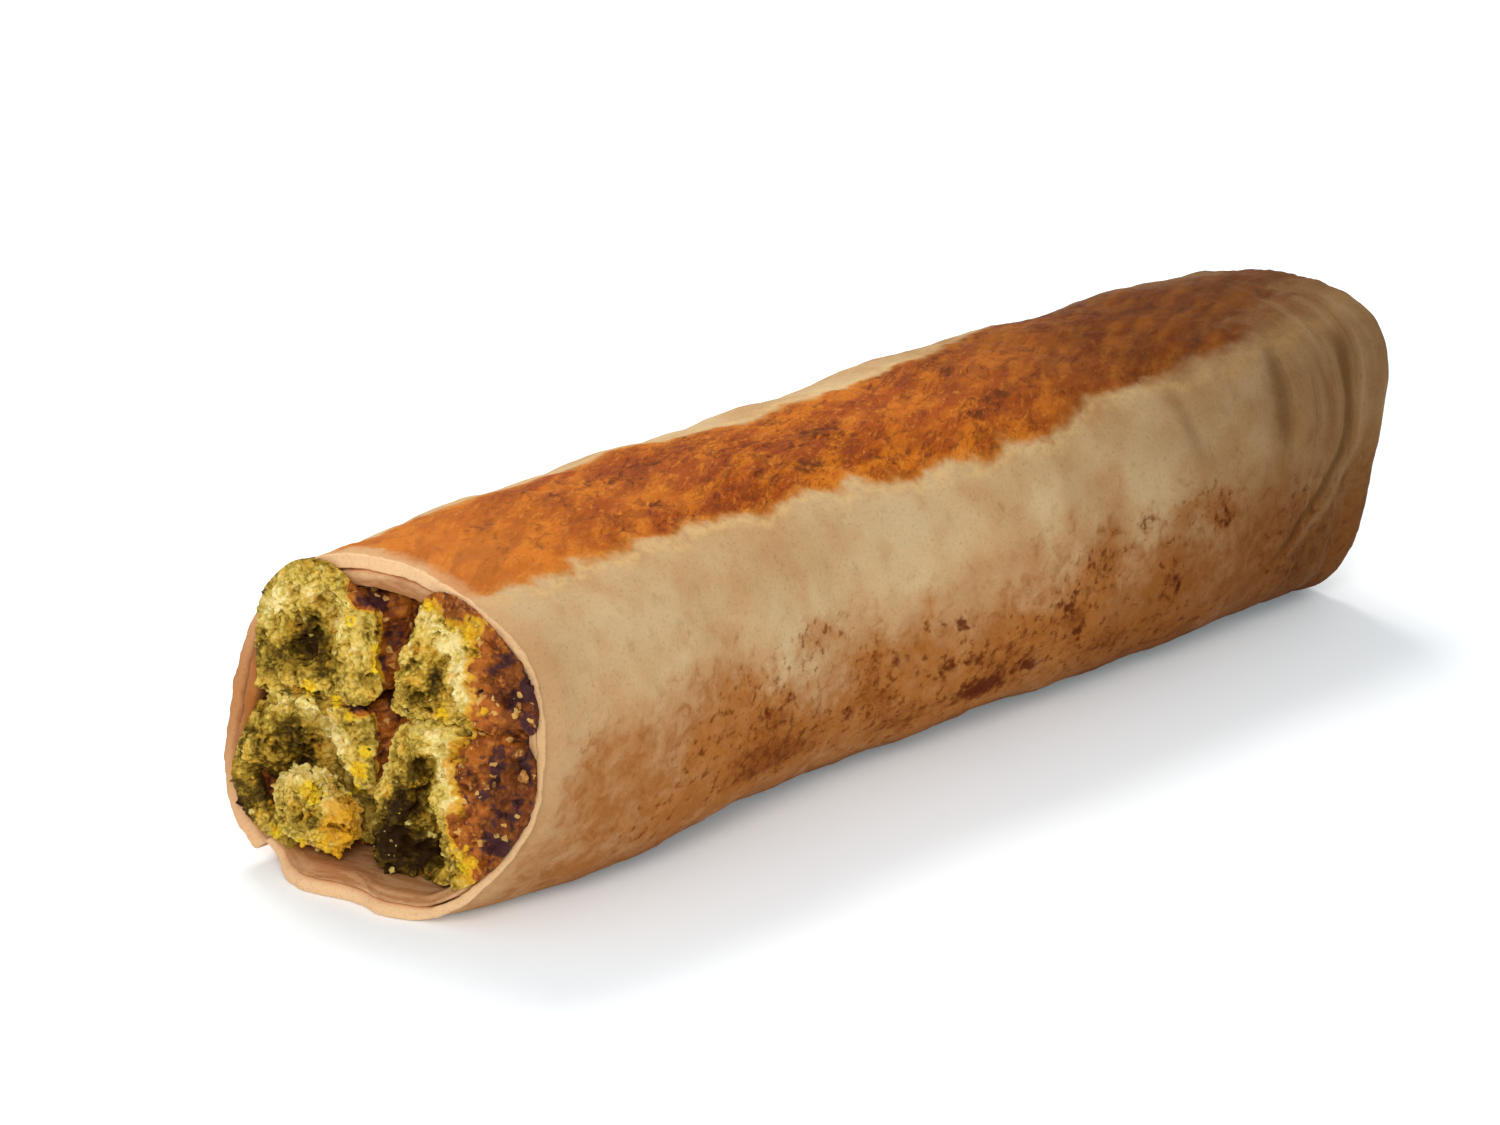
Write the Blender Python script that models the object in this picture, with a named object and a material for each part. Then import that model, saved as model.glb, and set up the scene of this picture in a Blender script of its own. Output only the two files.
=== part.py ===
"""Falafel wrap: a toasted flatbread roll, folded shut at one end and cut open at the other.

Metres, +Z up. The roll lies along X on its flattened underside: the cut mouth faces -X, the folded end +X.
The origin is the centre of the bounding box's bottom face. Four rows of broken falafel fill the bread's
hollow from the mouth to the folded end, and one loose crumb of falafel lies in the mouth.

A place on the bread is (s, angle, share): s is the distance from the mouth, angle runs from the top towards
+Y, and share goes from 0 on the outer skin to 1 on the inner one.
"""

import math

import bmesh
import bpy
import numpy as np
from mathutils import Vector, noise

MM = 0.001

# The roll
ROLL_LENGTH = 200 * MM
STATIONS = np.array([0, 0.2, 0.4, 0.6, 0.8, 1.0]) * ROLL_LENGTH  # distances from the mouth
HALF_WIDTHS = np.array([30.2, 30.6, 28.0, 30.2, 29.9, 28.0]) * MM
HEIGHTS = np.array([52.4, 53.8, 53.9, 53.6, 52.4, 52.4]) * MM
SECTION_POWERS = np.array([2.5, 2.4, 2.4, 2.5, 2.8, 4.0])  # 2 is an ellipse, and more is squarer
BASE_SINK = 2.3 * MM  # how far the section would reach below the floor, had it not been pressed flat
HOLLOWED_CORNERS = (  # distance from the mouth, angle, depth, half-width, and how far along each fades out
    (0, math.radians(236), 2.4 * MM, 0.42, 11 * MM),
    (0, math.radians(74), 2.8 * MM, 0.5, 32 * MM),
    (ROLL_LENGTH, math.radians(40), 3.6 * MM, 0.45, 36 * MM),
    (ROLL_LENGTH, math.radians(218), 2.0 * MM, 0.35, 24 * MM),
    (22 * MM, math.radians(220), -1.3 * MM, 0.4, 22 * MM),  # a fuller corner
)
LUMP = 0.45 * MM  # height of the bulges over what is inside
CREASES = (  # round the roll: distance before the folded end, depth, half-width
    (8 * MM, 0.9 * MM, 2.4 * MM),
    (18 * MM, 0.8 * MM, 2.8 * MM),
    (31 * MM, 0.5 * MM, 3.4 * MM),
)

# The sheet of bread, rolled twice round
LAYER = 2.2 * MM
LAYER_GAP = 0.5 * MM
PITCH = LAYER + LAYER_GAP  # what one more turn adds to the radius
WALL = LAYER + PITCH
SEAM_ANGLE = math.radians(138)  # the sheet's outer edge is low at the back
SEAM_WANDER = 0.05  # radians
FLAP_ROUND = 0.9 * MM
FLAP_TURN = 0.006  # share of a turn over which the outer edge is rounded
EDGE_RAMP = 0.2  # turns over which the inner edge of the sheet is pressed flat

# The mouth: an oblique cut whose lower and rear lips stand forward
LEAN_UP = 4.6 / 25  # how much the cut falls back with height above the middle
LEAN_BACK = -5.2 / 25  # and towards +Y
LEAN_REACH = 0.35 * ROLL_LENGTH  # the lean fades out this far into the roll
LIP_WAVE = 0.7 * MM
LIP_LOBES = (  # where the lower lip stands forward: angle, height, half-width
    (math.radians(161), 3.4 * MM, 0.24),
    (math.radians(194), 2.4 * MM, 0.2),
)
LIP_ROUND = 0.7 * MM
LIP_THIN = 2.4 * MM  # how much thinner the front lip is, where the filling has spread it
LIP_THIN_REACH = 30 * MM
GROOVE_DEPTH = 9 * MM  # how far the two turns stand apart behind the lip
GROOVE_LEAST = 0.8 * MM

# The folded end
END_ROUND = 3.8 * MM
END_LEAN = 6.4 / 25  # how much further the end reaches with height above the middle
END_LEAN_LOW = 5.0 / 25  # and how much less below it
END_LEAN_REACH = 0.2 * ROLL_LENGTH
END_DIMPLE = 4.5 * MM
PLEATS = 9
PLEAT_DEPTH = 1.3 * MM
PLEAT_TWIST = 1.1  # radians that the pleats turn between the edge and the middle
HOLLOW_END = 15 * MM  # solid folded bread at that end
HOLLOW_STATIONS = np.array([170, 142, 100, 58, 30, 16]) * MM  # where the hollow's straight stretches meet
HOLLOW_TAPER = 0.8  # the hollow's last section against a full one

# The filling
CLEARANCE = 0.45 * MM  # from each row to its neighbours' shared plane, and to the bread
SPLIT_Y = 1.8 * MM  # where the rows on the two sides meet
SPLIT_Z = 30.5 * MM  # where the upper and lower rows meet, at y = 0
SPLIT_SLOPE = -0.10  # the upper rows' underside falls towards +Y
CORNER_POWER = 7.0  # how square the rows' corners are
TAIL_GAP = 6 * MM  # from the rows' far ends to the hollow's
TAIL_TAPER = 0.76
FACE_SHARES = (0.12, 0.26, 0.4, 0.54, 0.67, 0.79, 0.89, 0.96, 1.0)  # rings of a broken face, middle to edge
FACE_EDGE = 2.2 * MM  # how far the broken face falls back at its edge
FACE_DEPTH = 5 * MM  # where in the hollow that edge takes its outline from
ROWS = {  # side (1 at the back, -1 in front), level, how far the broken face lies behind the lip, and the
    # bumps and hollows of that face: y, z, height, half-width in y, half-width in z
    "falafel_upper_back": (1, 1, -0.6 * MM, np.array([
        (6.8, 43, 3.0, 2.4, 4.0),
        (4.0, 36, 2.6, 2.6, 3.4),
        (21, 42, 1.8, 2.6, 7.0),
        (15, 32.5, 2.4, 6.0, 1.8),
        (13.4, 39.2, -6.5, 3.4, 4.0),
        (14.0, 44.6, -3.0, 2.0, 1.8),
        (17, 34.6, -2.2, 2.2, 1.8),
        (23, 34, 1.5, 2.5, 4.0),
    ]) * MM),
    "falafel_upper_front": (-1, 1, -0.4 * MM, np.array([
        (-5.6, 39, 3.2, 2.2, 6.0),
        (-10.5, 47, 2.4, 4.0, 2.6),
        (-16.0, 41, 3.4, 3.4, 5.0),
        (-10.4, 37, -3.8, 1.8, 4.4),
        (-20, 35, 3.4, 4.0, 4.0),
        (-21, 43, 2.6, 4.0, 4.0),
        (-12.5, 32.5, 2.0, 6.0, 1.8),
    ]) * MM),
    "falafel_lower_back": (1, -1, 2.4 * MM, np.array([
        (6.5, 24.5, 4.2, 2.8, 4.4),
        (3.6, 18, 3.6, 2.4, 4.4),
        (22, 20, 5.0, 2.8, 8.0),
        (14, 28.5, 4.4, 7.0, 2.6),
        (14.5, 19.5, -4.6, 3.6, 4.8),
        (18.0, 12, -4.4, 4.0, 4.5),
        (8, 10.5, -6.0, 7.5, 6.5),
        (24, 9, -2.5, 4.0, 5.0),
    ]) * MM),
    "falafel_lower_front": (-1, -1, -0.2 * MM, np.array([
        (-4.4, 20, 3.4, 2.2, 7.0),
        (-9.5, 28, 2.4, 4.0, 2.4),
        (-15.3, 22, 3.6, 3.0, 6.0),
        (-9.4, 18, -4.0, 2.0, 4.4),
        (-8.5, 10, -8.0, 4.4, 4.6),
        (-18.5, 13.5, 3.6, 3.4, 3.6),
        (-21, 21, 2.8, 4.0, 6.0),
    ]) * MM),
}
CRAG = 1.7 * MM
CRAG_SIZE = 5.0 * MM
CRUMB_SIZE = Vector((4.6, 8.8, 6.4)) * MM  # half the loose crumb's depth, width and height
CRUMB_PLACE = Vector((-ROLL_LENGTH / 2 - 4.6 * MM, 10.0 * MM, WALL + 7.6 * MM))

COLUMNS = 60  # round the bread
BREAD_COLOUR = (0.62, 0.40, 0.20, 1)
CRUMB_COLOUR = (0.42, 0.34, 0.08, 1)
CRUST_COLOUR = (0.27, 0.12, 0.035, 1)


def along(values, s):
    """The values named at the stations, joined by a smooth cubic."""
    slopes = np.gradient(values, STATIONS)
    s = np.clip(s, STATIONS[0], STATIONS[-1])
    i = np.clip(np.searchsorted(STATIONS, s) - 1, 0, len(STATIONS) - 2)
    step = STATIONS[i + 1] - STATIONS[i]
    t = (s - STATIONS[i]) / step
    start = (1 + 2 * t) * (1 - t) ** 2 * values[i] + t * (1 - t) ** 2 * step * slopes[i]
    return start + t**2 * (3 - 2 * t) * values[i + 1] + t**2 * (t - 1) * step * slopes[i + 1]


def bump(distance, half_width):
    """1 at no distance, falling smoothly to about 0 past the half-width."""
    return np.exp(-((distance / half_width) ** 2))


def turned(angle, middle):
    """The angle from the middle, between half a turn back and half a turn on."""
    return np.mod(angle - middle + math.pi, 2 * math.pi) - math.pi


def seam_angle(s):
    return SEAM_ANGLE + SEAM_WANDER * np.sin(s / (23 * MM))


def turn_of(s, angle):
    """How far round from the seam an angle lies, from 0 to 1."""
    return np.mod(seam_angle(s) - angle, 2 * math.pi) / (2 * math.pi)


def outline_radius(s, angle):
    """From the roll's middle to its outer surface, before the floor flattens it."""
    across, up = np.sin(angle), np.cos(angle)
    middle = along(HEIGHTS, s) / 2
    tall = np.where(up < 0, middle + BASE_SINK, middle)
    power = along(SECTION_POWERS, s)
    radius = (np.abs(across / along(HALF_WIDTHS, s)) ** power + np.abs(up / tall) ** power) ** (-1 / power)
    for at, middle, depth, half_width, reach in HOLLOWED_CORNERS:
        radius = radius - depth * bump(turned(angle, middle), half_width) * bump(s - at, reach)
    return radius


def relief(s, angle):
    """How far the outer skin bulges over what is inside, and falls in at the creases by the folded end."""
    lumps = np.sin(s / (6.2 * MM) + 1.3 * np.sin(angle)) * np.cos(2 * angle + s / (21 * MM))
    ripples = 0.35 * np.sin(s / (3.1 * MM) + 2 * angle) * np.sin(3 * angle + s / (9 * MM))
    creases = 0
    for before, depth, half_width in CREASES:
        creases = creases + depth * bump(s - (ROLL_LENGTH - before) - 2 * MM * np.cos(angle), half_width)
    front = bump(turned(angle, -math.pi / 2), 1.15)
    return LUMP * (lumps + ripples) - creases * (0.25 + 0.75 * front)


def coil(s, turn, share):
    """How far in the rolled sheet has come; its innermost edge is pressed into a ramp by the filling."""
    past = np.mod(turn + 0.5, 1.0) - 0.5
    ramp = np.clip(past / EDGE_RAMP, -1, 1)
    pressed = past - 0.5 * ramp * (1.5 - 0.5 * ramp**2)
    flap = FLAP_ROUND * np.clip(1 - turn / FLAP_TURN, 0, 1)
    fade = np.clip((ROLL_LENGTH - s) / (14 * MM), 0, 1)
    return fade * ((1 - share) * (PITCH * (turn - 0.5) + flap) + share * PITCH * pressed)


def wall(s, angle):
    """Thickness of the two layers: thinner at the front lip."""
    fade = np.clip(1 - s / LIP_THIN_REACH, 0, 1)
    return WALL - LIP_THIN * fade * bump(turned(angle, -math.pi / 2), 0.95)


def section(s, angle, share, turn, shrink=1.0):
    """(y, z) of a point in the wall."""
    depth = share * wall(s, angle)
    radius = outline_radius(s, angle) - depth - coil(s, turn, share) + (1 - share) * relief(s, angle)
    middle = along(HEIGHTS, s) / 2
    z = np.maximum(middle + radius * np.cos(angle), depth)
    return radius * np.sin(angle) * shrink, middle + (z - middle) * shrink


def lean(s, y, z):
    """How far the oblique mouth and the leaning end move a point along X."""
    up = z - along(HEIGHTS, s) / 2
    near = np.clip(1 - s / LEAN_REACH, 0, 1)
    far = np.clip(1 - (ROLL_LENGTH - s) / END_LEAN_REACH, 0, 1)
    end_lean = np.where(up > 0, END_LEAN, END_LEAN_LOW)
    return near * (LEAN_UP * up + LEAN_BACK * y) + far * end_lean * up


def place(s, y, z, push=0.0):
    """World points of (s, y, z), each pushed along X."""
    return np.stack([s - ROLL_LENGTH / 2 + lean(s, y, z) + push + 0 * y, y + 0 * s, z + 0 * s], axis=-1)


def lip_wave(angle):
    """How far the lip stands back from the plain oblique cut."""
    wave = LIP_WAVE * (np.sin(3 * angle + 0.6) + 0.6 * np.sin(7 * angle + 2.0))
    for middle, height, half_width in LIP_LOBES:
        wave = wave - height * bump(turned(angle, middle), half_width)
    return wave


def add_object(name, data, colour):
    data.shade_smooth()
    data.set_sharp_from_angle(angle=math.radians(50))
    thing = bpy.data.objects.new(name, data)
    thing.data.materials.append(material(name, colour))
    bpy.data.collections["falafel_wrap"].objects.link(thing)
    return thing


def material(name, colour):
    made = bpy.data.materials.new(name)
    made.use_nodes = True
    shader = made.node_tree.nodes["Principled BSDF"]
    shader.inputs["Base Color"].default_value = colour
    shader.inputs["Roughness"].default_value = 0.7
    shader.inputs["Metallic"].default_value = 0.0
    return made


def loft(name, rings, first_pole, last_pole, colour):
    """A closed solid through rings of points, with a point at each end."""
    mesh = bmesh.new()
    rows = [[mesh.verts.new(p) for p in ring] for ring in rings]
    for row, following in zip(rows, rows[1:]):
        for i in range(len(row)):
            j = (i + 1) % len(row)
            mesh.faces.new((row[i], row[j], following[j], following[i]))
    for row, pole, reverse in ((rows[0], first_pole, True), (rows[-1], last_pole, False)):
        tip = mesh.verts.new(pole)
        for i in range(len(row)):
            pair = (row[i], row[(i + 1) % len(row)])
            mesh.faces.new((tip, *(reversed(pair) if reverse else pair)))
    bmesh.ops.triangulate(mesh, faces=mesh.faces)
    if mesh.calc_volume(signed=True) < 0:
        bmesh.ops.reverse_faces(mesh, faces=mesh.faces)
    data = bpy.data.meshes.new(name)
    mesh.to_mesh(data)
    mesh.free()
    return add_object(name, data, colour)


def make_flatbread():
    """The rolled sheet: folded end, outer skin with its seam, lip of two layers, and hollow, in one loft."""
    even = np.linspace(0, 1, COLUMNS, endpoint=False)
    turns = np.concatenate([[0.0, FLAP_TURN], even[1:], [1 - 0.3 * FLAP_TURN]])
    rings = []

    def ring(s, share, shrink=1.0, sink=0.0):
        s = np.broadcast_to(s, turns.shape)
        angles = seam_angle(s) - turns * 2 * math.pi
        y, z = section(s, angles, share, turns, shrink)
        wave = lip_wave(angles) * np.clip(1 - s / (14 * MM), 0, 1)
        rings.append(place(s, y, z, wave - sink))

    hollow_far = ROLL_LENGTH - HOLLOW_END
    ring(hollow_far, 1.0, HOLLOW_TAPER)
    for s in (*HOLLOW_STATIONS, 6 * MM):  # inside, from the folded end to the mouth
        ring(s, 1.0)
    lip = LIP_ROUND / WALL
    split = LAYER / WALL
    gap = LAYER_GAP / WALL
    front = bump(turned(SEAM_ANGLE - turns * 2 * math.pi, -math.pi / 2), 0.95)
    groove = GROOVE_LEAST + (GROOVE_DEPTH - GROOVE_LEAST) * (1 - front)
    for s, share in ((LIP_ROUND, 1), (0.2 * LIP_ROUND, 1 - 0.35 * lip), (0, 1 - lip), (0, split + gap + 0.5 * lip),
                     (0.6 * LIP_ROUND, split + gap), (groove, split + 0.8 * gap), (groove, split + 0.2 * gap),
                     (0.6 * LIP_ROUND, split), (0, split - 0.5 * lip), (0, lip), (0.2 * LIP_ROUND, 0.35 * lip),
                     (LIP_ROUND, 0), (3 * MM, 0), (7 * MM, 0)):
        ring(s, share)
    body_end = ROLL_LENGTH - END_ROUND
    for s in np.linspace(12.5 * MM, body_end, 30):
        ring(s, 0)
    for bend in np.radians([25, 48, 68]):  # the rounded edge of the folded end
        inward = END_ROUND * (1 - math.cos(bend))
        ring(body_end + END_ROUND * math.sin(bend), 0, 1 - inward / HALF_WIDTHS[-1])
    edge = 1 - END_ROUND / HALF_WIDTHS[-1]
    angles = seam_angle(ROLL_LENGTH) - turns * 2 * math.pi
    for share in (1.0, 0.78, 0.54, 0.28):  # the folded face, with its pleats and dimple
        dish = END_DIMPLE * (1 - share) ** 1.5
        pleat = 1 - np.abs(np.sin(PLEATS / 2 * angles + PLEAT_TWIST * (1 - share)))
        ring(ROLL_LENGTH, 0, edge * share, dish + PLEAT_DEPTH * pleat * math.sin(math.pi * share**0.7))
    middle = HEIGHTS[-1] / 2
    inner_pole = (hollow_far - ROLL_LENGTH / 2, 0, middle)
    outer_pole = (ROLL_LENGTH / 2 - END_DIMPLE, 0, middle)
    return loft("flatbread", rings, inner_pole, outer_pole, BREAD_COLOUR)


def hollow_margin(s, y, z):
    """How far inside the bread's inner skin a point is; negative is in the bread."""
    middle = along(HEIGHTS, s) / 2
    angle = np.arctan2(y, z - middle)
    inner_y, inner_z = section(s, angle, 1.0, turn_of(s, angle))
    return np.minimum(np.hypot(inner_y, inner_z - middle) - np.hypot(y, z - middle), z - wall(s, angle))


def reach_to_bread(s, centre, direction):
    """Distance from the centre to the hollow's wall, by halving."""
    low, high = np.zeros(direction.shape[0]), np.full(direction.shape[0], 80 * MM)
    for _ in range(30):
        half = (low + high) / 2
        y = centre[0] + half * direction[:, 0]
        z = centre[1] + half * direction[:, 1]
        inside = hollow_margin(s, y, z) > CLEARANCE
        low, high = np.where(inside, half, low), np.where(inside, high, half)
    return low


def reach_to_line(centre, direction, point, normal):
    """Distance from the centre to a straight split between two rows."""
    ahead = direction @ np.array(normal)
    room = np.dot(np.array(point) - np.array(centre), normal) - CLEARANCE
    return np.where(ahead > 1e-6, room / np.maximum(ahead, 1e-6), 1.0)


def make_row(name, columns=30):
    """One row of falafel: a quarter of the hollow, from its broken face in the mouth to the folded end."""
    side, level, face, bumps = ROWS[name]
    y = SPLIT_Y + side * 12.5 * MM
    split = SPLIT_Z + SPLIT_SLOPE * y
    centre = (y, (split + HEIGHTS[0] - WALL) / 2 if level > 0 else (split + WALL) / 2)
    spin = np.linspace(0, 2 * math.pi, columns, endpoint=False)
    direction = np.stack([np.cos(spin), np.sin(spin)], axis=1)
    slope = np.array([-SPLIT_SLOPE, 1.0]) / math.hypot(1, SPLIT_SLOPE)

    def outline(s, share=1.0):
        reaches = (
            reach_to_bread(np.full(columns, s), centre, direction),
            reach_to_line(centre, direction, (SPLIT_Y, 0), (-side, 0)),
            reach_to_line(centre, direction, (0, SPLIT_Z), -level * slope),
        )
        reach = share * sum(r**-CORNER_POWER for r in reaches) ** (-1 / CORNER_POWER)
        return centre[0] + reach * direction[:, 0], centre[1] + reach * direction[:, 1]

    rings = []
    for share in FACE_SHARES:
        y, z = outline(FACE_DEPTH, share)
        standing = -FACE_EDGE * max(0.0, share - 0.8) / 0.2
        for bump_y, bump_z, height, wide_y, wide_z in bumps:
            standing = standing + height * bump(y - bump_y, wide_y) * bump(z - bump_z, wide_z)
        crags = [noise.fractal(Vector((a, b, centre[0])) / CRAG_SIZE, 0.6, 2.2, 3) for a, b in zip(y, z)]
        standing = standing + CRAG * np.array(crags) * (1 - 0.5 * share)
        rings.append(place(np.zeros(columns), y, z, face - standing))
    tail = ROLL_LENGTH - HOLLOW_END - TAIL_GAP
    for s in (*HOLLOW_STATIONS[::-1], tail):
        y, z = outline(s)
        taper = TAIL_TAPER if s == tail else 1.0
        middle = along(HEIGHTS, s) / 2
        rings.append(place(np.full(columns, s), y * taper, middle + (z - middle) * taper))
    first, last = rings[0].mean(axis=0), rings[-1].mean(axis=0)
    return loft(name, rings, first, last + np.array([2 * MM, 0, 0]), CRUST_COLOUR if side < 0 else CRUMB_COLOUR)


def make_loose_crumb():
    """The broken bit of falafel that lies in the mouth, on the lower lip."""
    mesh = bmesh.new()
    bmesh.ops.create_icosphere(mesh, subdivisions=3, radius=1.0)
    for vertex in mesh.verts:
        crag = 1 + 0.16 * noise.fractal(vertex.co * 2.3 + Vector((7, 3, 1)), 0.7, 2.1, 3)
        vertex.co = Vector(a * b for a, b in zip(vertex.co * crag, CRUMB_SIZE)) + CRUMB_PLACE
    data = bpy.data.meshes.new("falafel_crumb")
    mesh.to_mesh(data)
    mesh.free()
    return add_object("falafel_crumb", data, CRUMB_COLOUR)


def clear_scene():
    for thing in list(bpy.data.objects):
        bpy.data.objects.remove(thing, do_unlink=True)
    group = bpy.data.collections.new("falafel_wrap")
    bpy.context.scene.collection.children.link(group)


def centre_on_bounds(pieces):
    """Moves every mesh so that the origin is the centre of the bounding box's bottom face."""
    points = np.array([vertex.co for piece in pieces for vertex in piece.data.vertices])
    low, high = points.min(axis=0), points.max(axis=0)
    for piece in pieces:
        for vertex in piece.data.vertices:
            vertex.co -= Vector(((low[0] + high[0]) / 2, (low[1] + high[1]) / 2, low[2]))


def main():
    clear_scene()
    pieces = [
        make_flatbread(),
        *(make_row(name) for name in ROWS),
        make_loose_crumb(),
    ]
    centre_on_bounds(pieces)


main()
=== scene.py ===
import math
import random

import bmesh
import bpy
import numpy as np
from mathutils import Matrix, Vector, noise
from mathutils.bvhtree import BVHTree


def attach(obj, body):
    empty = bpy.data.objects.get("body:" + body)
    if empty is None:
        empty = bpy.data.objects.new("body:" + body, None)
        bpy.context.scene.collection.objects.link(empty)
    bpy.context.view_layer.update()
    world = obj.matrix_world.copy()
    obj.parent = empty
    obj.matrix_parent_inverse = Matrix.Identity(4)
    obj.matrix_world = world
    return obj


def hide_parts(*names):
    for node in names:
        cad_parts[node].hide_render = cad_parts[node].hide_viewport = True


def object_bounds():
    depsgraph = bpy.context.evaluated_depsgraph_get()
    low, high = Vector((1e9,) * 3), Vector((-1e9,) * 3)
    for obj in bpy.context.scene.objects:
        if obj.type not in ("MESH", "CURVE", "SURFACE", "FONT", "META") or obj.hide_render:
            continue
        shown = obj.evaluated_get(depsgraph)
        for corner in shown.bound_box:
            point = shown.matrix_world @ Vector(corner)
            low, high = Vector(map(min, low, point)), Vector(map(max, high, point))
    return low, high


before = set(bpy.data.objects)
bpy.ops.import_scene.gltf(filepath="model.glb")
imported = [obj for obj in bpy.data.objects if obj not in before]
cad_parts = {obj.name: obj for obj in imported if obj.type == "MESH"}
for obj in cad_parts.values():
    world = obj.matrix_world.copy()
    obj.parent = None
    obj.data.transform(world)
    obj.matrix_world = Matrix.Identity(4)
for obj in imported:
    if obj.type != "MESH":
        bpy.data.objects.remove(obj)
cadLow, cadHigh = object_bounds()
mm = 0.001
fullTurn = 2 * math.pi
front = -math.pi / 2  # angles go round from the top, this way towards the front
print("frame loaded, box", [round(b - a, 4) for a, b in zip(cadLow, cadHigh)])


def smooth(value, low, high):  # 0 below low, 1 above high, eased between
    t = np.clip((value - low) / (high - low), 0, 1)
    return t * t * (3 - 2 * t)


def bump(distance, halfWidth):  # 1 at no distance, about 0 past the half-width
    return np.exp(-((distance / halfWidth) ** 2))


def dabs(start, y, z, places, unit=1):  # soft rounds laid one over another
    for atY, atZ, height, wideY, wideZ in places:
        start = start + height * unit * np.exp(-((y - atY) / wideY) ** 2 - ((z - atZ) / wideZ) ** 2)
    return start


def turned(angle, middle):  # the angle from the middle, within half a turn
    return np.mod(angle - middle + math.pi, fullTurn) - math.pi


def seeded(seed):  # a far-off corner of the noise for each use
    return Vector((seed * 17.31, seed * -9.77, seed * 5.13))


def rough(points, size, seed, octaves=3, falloff=0.7):  # fractal noise, about -1 to 1
    corner = seeded(seed)
    flat = points.reshape(-1, 3) / size
    values = [noise.fractal(Vector(p) + corner, falloff, 2.1, octaves) for p in flat.tolist()]
    return np.array(values).reshape(points.shape[:-1])


def grains(points, size, seed):  # 0 on the borders between grains, up to about 1 in their middles
    corner = seeded(seed)
    flat = points.reshape(-1, 3) / size
    values = []
    for p in flat.tolist():
        near = noise.voronoi(Vector(p) + corner)[0]
        values.append(near[1] - near[0])
    return np.array(values).reshape(points.shape[:-1])


def gridNormals(points):  # of a grid whose columns close on themselves
    down = np.gradient(points, axis=0)
    across = np.roll(points, -1, axis=1) - np.roll(points, 1, axis=1)
    normals = np.cross(down, across)
    return normals / np.maximum(np.linalg.norm(normals, axis=-1, keepdims=True), 1e-12)


def linked(name, data):
    thing = bpy.data.objects.new(name, data)
    bpy.context.scene.collection.objects.link(thing)
    return thing


def addMask(data, label, values):  # a number or a vector at each point, for the shaders
    wide = values.ndim > 1
    layer = data.attributes.new(label, "FLOAT_VECTOR" if wide else "FLOAT", "POINT")
    layer.data.foreach_set("vector" if wide else "value", values.astype(np.float32).ravel())


def gridPiece(name, points, masks, firstPole, lastPole):  # a closed skin over rings of points
    rows, columns = points.shape[:2]
    vertices = np.concatenate([points.reshape(-1, 3), [firstPole, lastPole]])
    index = np.arange(rows * columns).reshape(rows, columns)
    after = np.roll(index, -1, axis=1)
    quads = np.stack([index[:-1], after[:-1], after[1:], index[1:]], axis=-1).reshape(-1, 4)
    first, last = rows * columns, rows * columns + 1
    caps = [(first, b, a) for a, b in zip(index[0].tolist(), after[0].tolist())]
    caps += [(last, a, b) for a, b in zip(index[-1].tolist(), after[-1].tolist())]
    halves = np.concatenate([quads[:, [0, 1, 2]], quads[:, [0, 2, 3]], caps])
    corners = vertices[halves]
    volume = np.einsum("ij,ij->i", corners[:, 0], np.cross(corners[:, 1], corners[:, 2])).sum()
    faces = quads.tolist() + [list(cap) for cap in caps]
    if volume < 0:
        faces = [face[::-1] for face in faces]
    data = bpy.data.meshes.new(name)
    data.from_pydata(vertices.tolist(), [], faces)
    for label, values in masks.items():
        flat = values.reshape(rows * columns, *values.shape[2:])
        addMask(data, label, np.concatenate([flat, flat[:1], flat[-1:]]))
    data.shade_smooth()
    return linked(name, data)


def dress(piece, finish):  # every piece rides on the one body
    piece.data.materials.clear()
    piece.data.materials.append(finish)
    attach(piece, "root")


def tone(red, green, blue):  # a colour as seen on screen, for a shader
    parts = [c / 255 for c in (red, green, blue)]
    return tuple(c / 12.92 if c < 0.04 else ((c + 0.055) / 1.055) ** 2.4 for c in parts) + (1.0,)


class Wire:  # a node's output, ready for sums
    def __init__(self, finish, socket):
        self.finish, self.socket = finish, socket

    def sum(self, operation, first, second):
        return self.finish.add("ShaderNodeMath", {"operation": operation}, {0: first, 1: second})

    def __add__(self, other):
        return self.sum("ADD", self, other)

    def __radd__(self, other):
        return self.sum("ADD", other, self)

    def __sub__(self, other):
        return self.sum("SUBTRACT", self, other)

    def __rsub__(self, other):
        return self.sum("SUBTRACT", other, self)

    def __mul__(self, other):
        return self.sum("MULTIPLY", self, other)

    def __rmul__(self, other):
        return self.sum("MULTIPLY", other, self)


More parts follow.
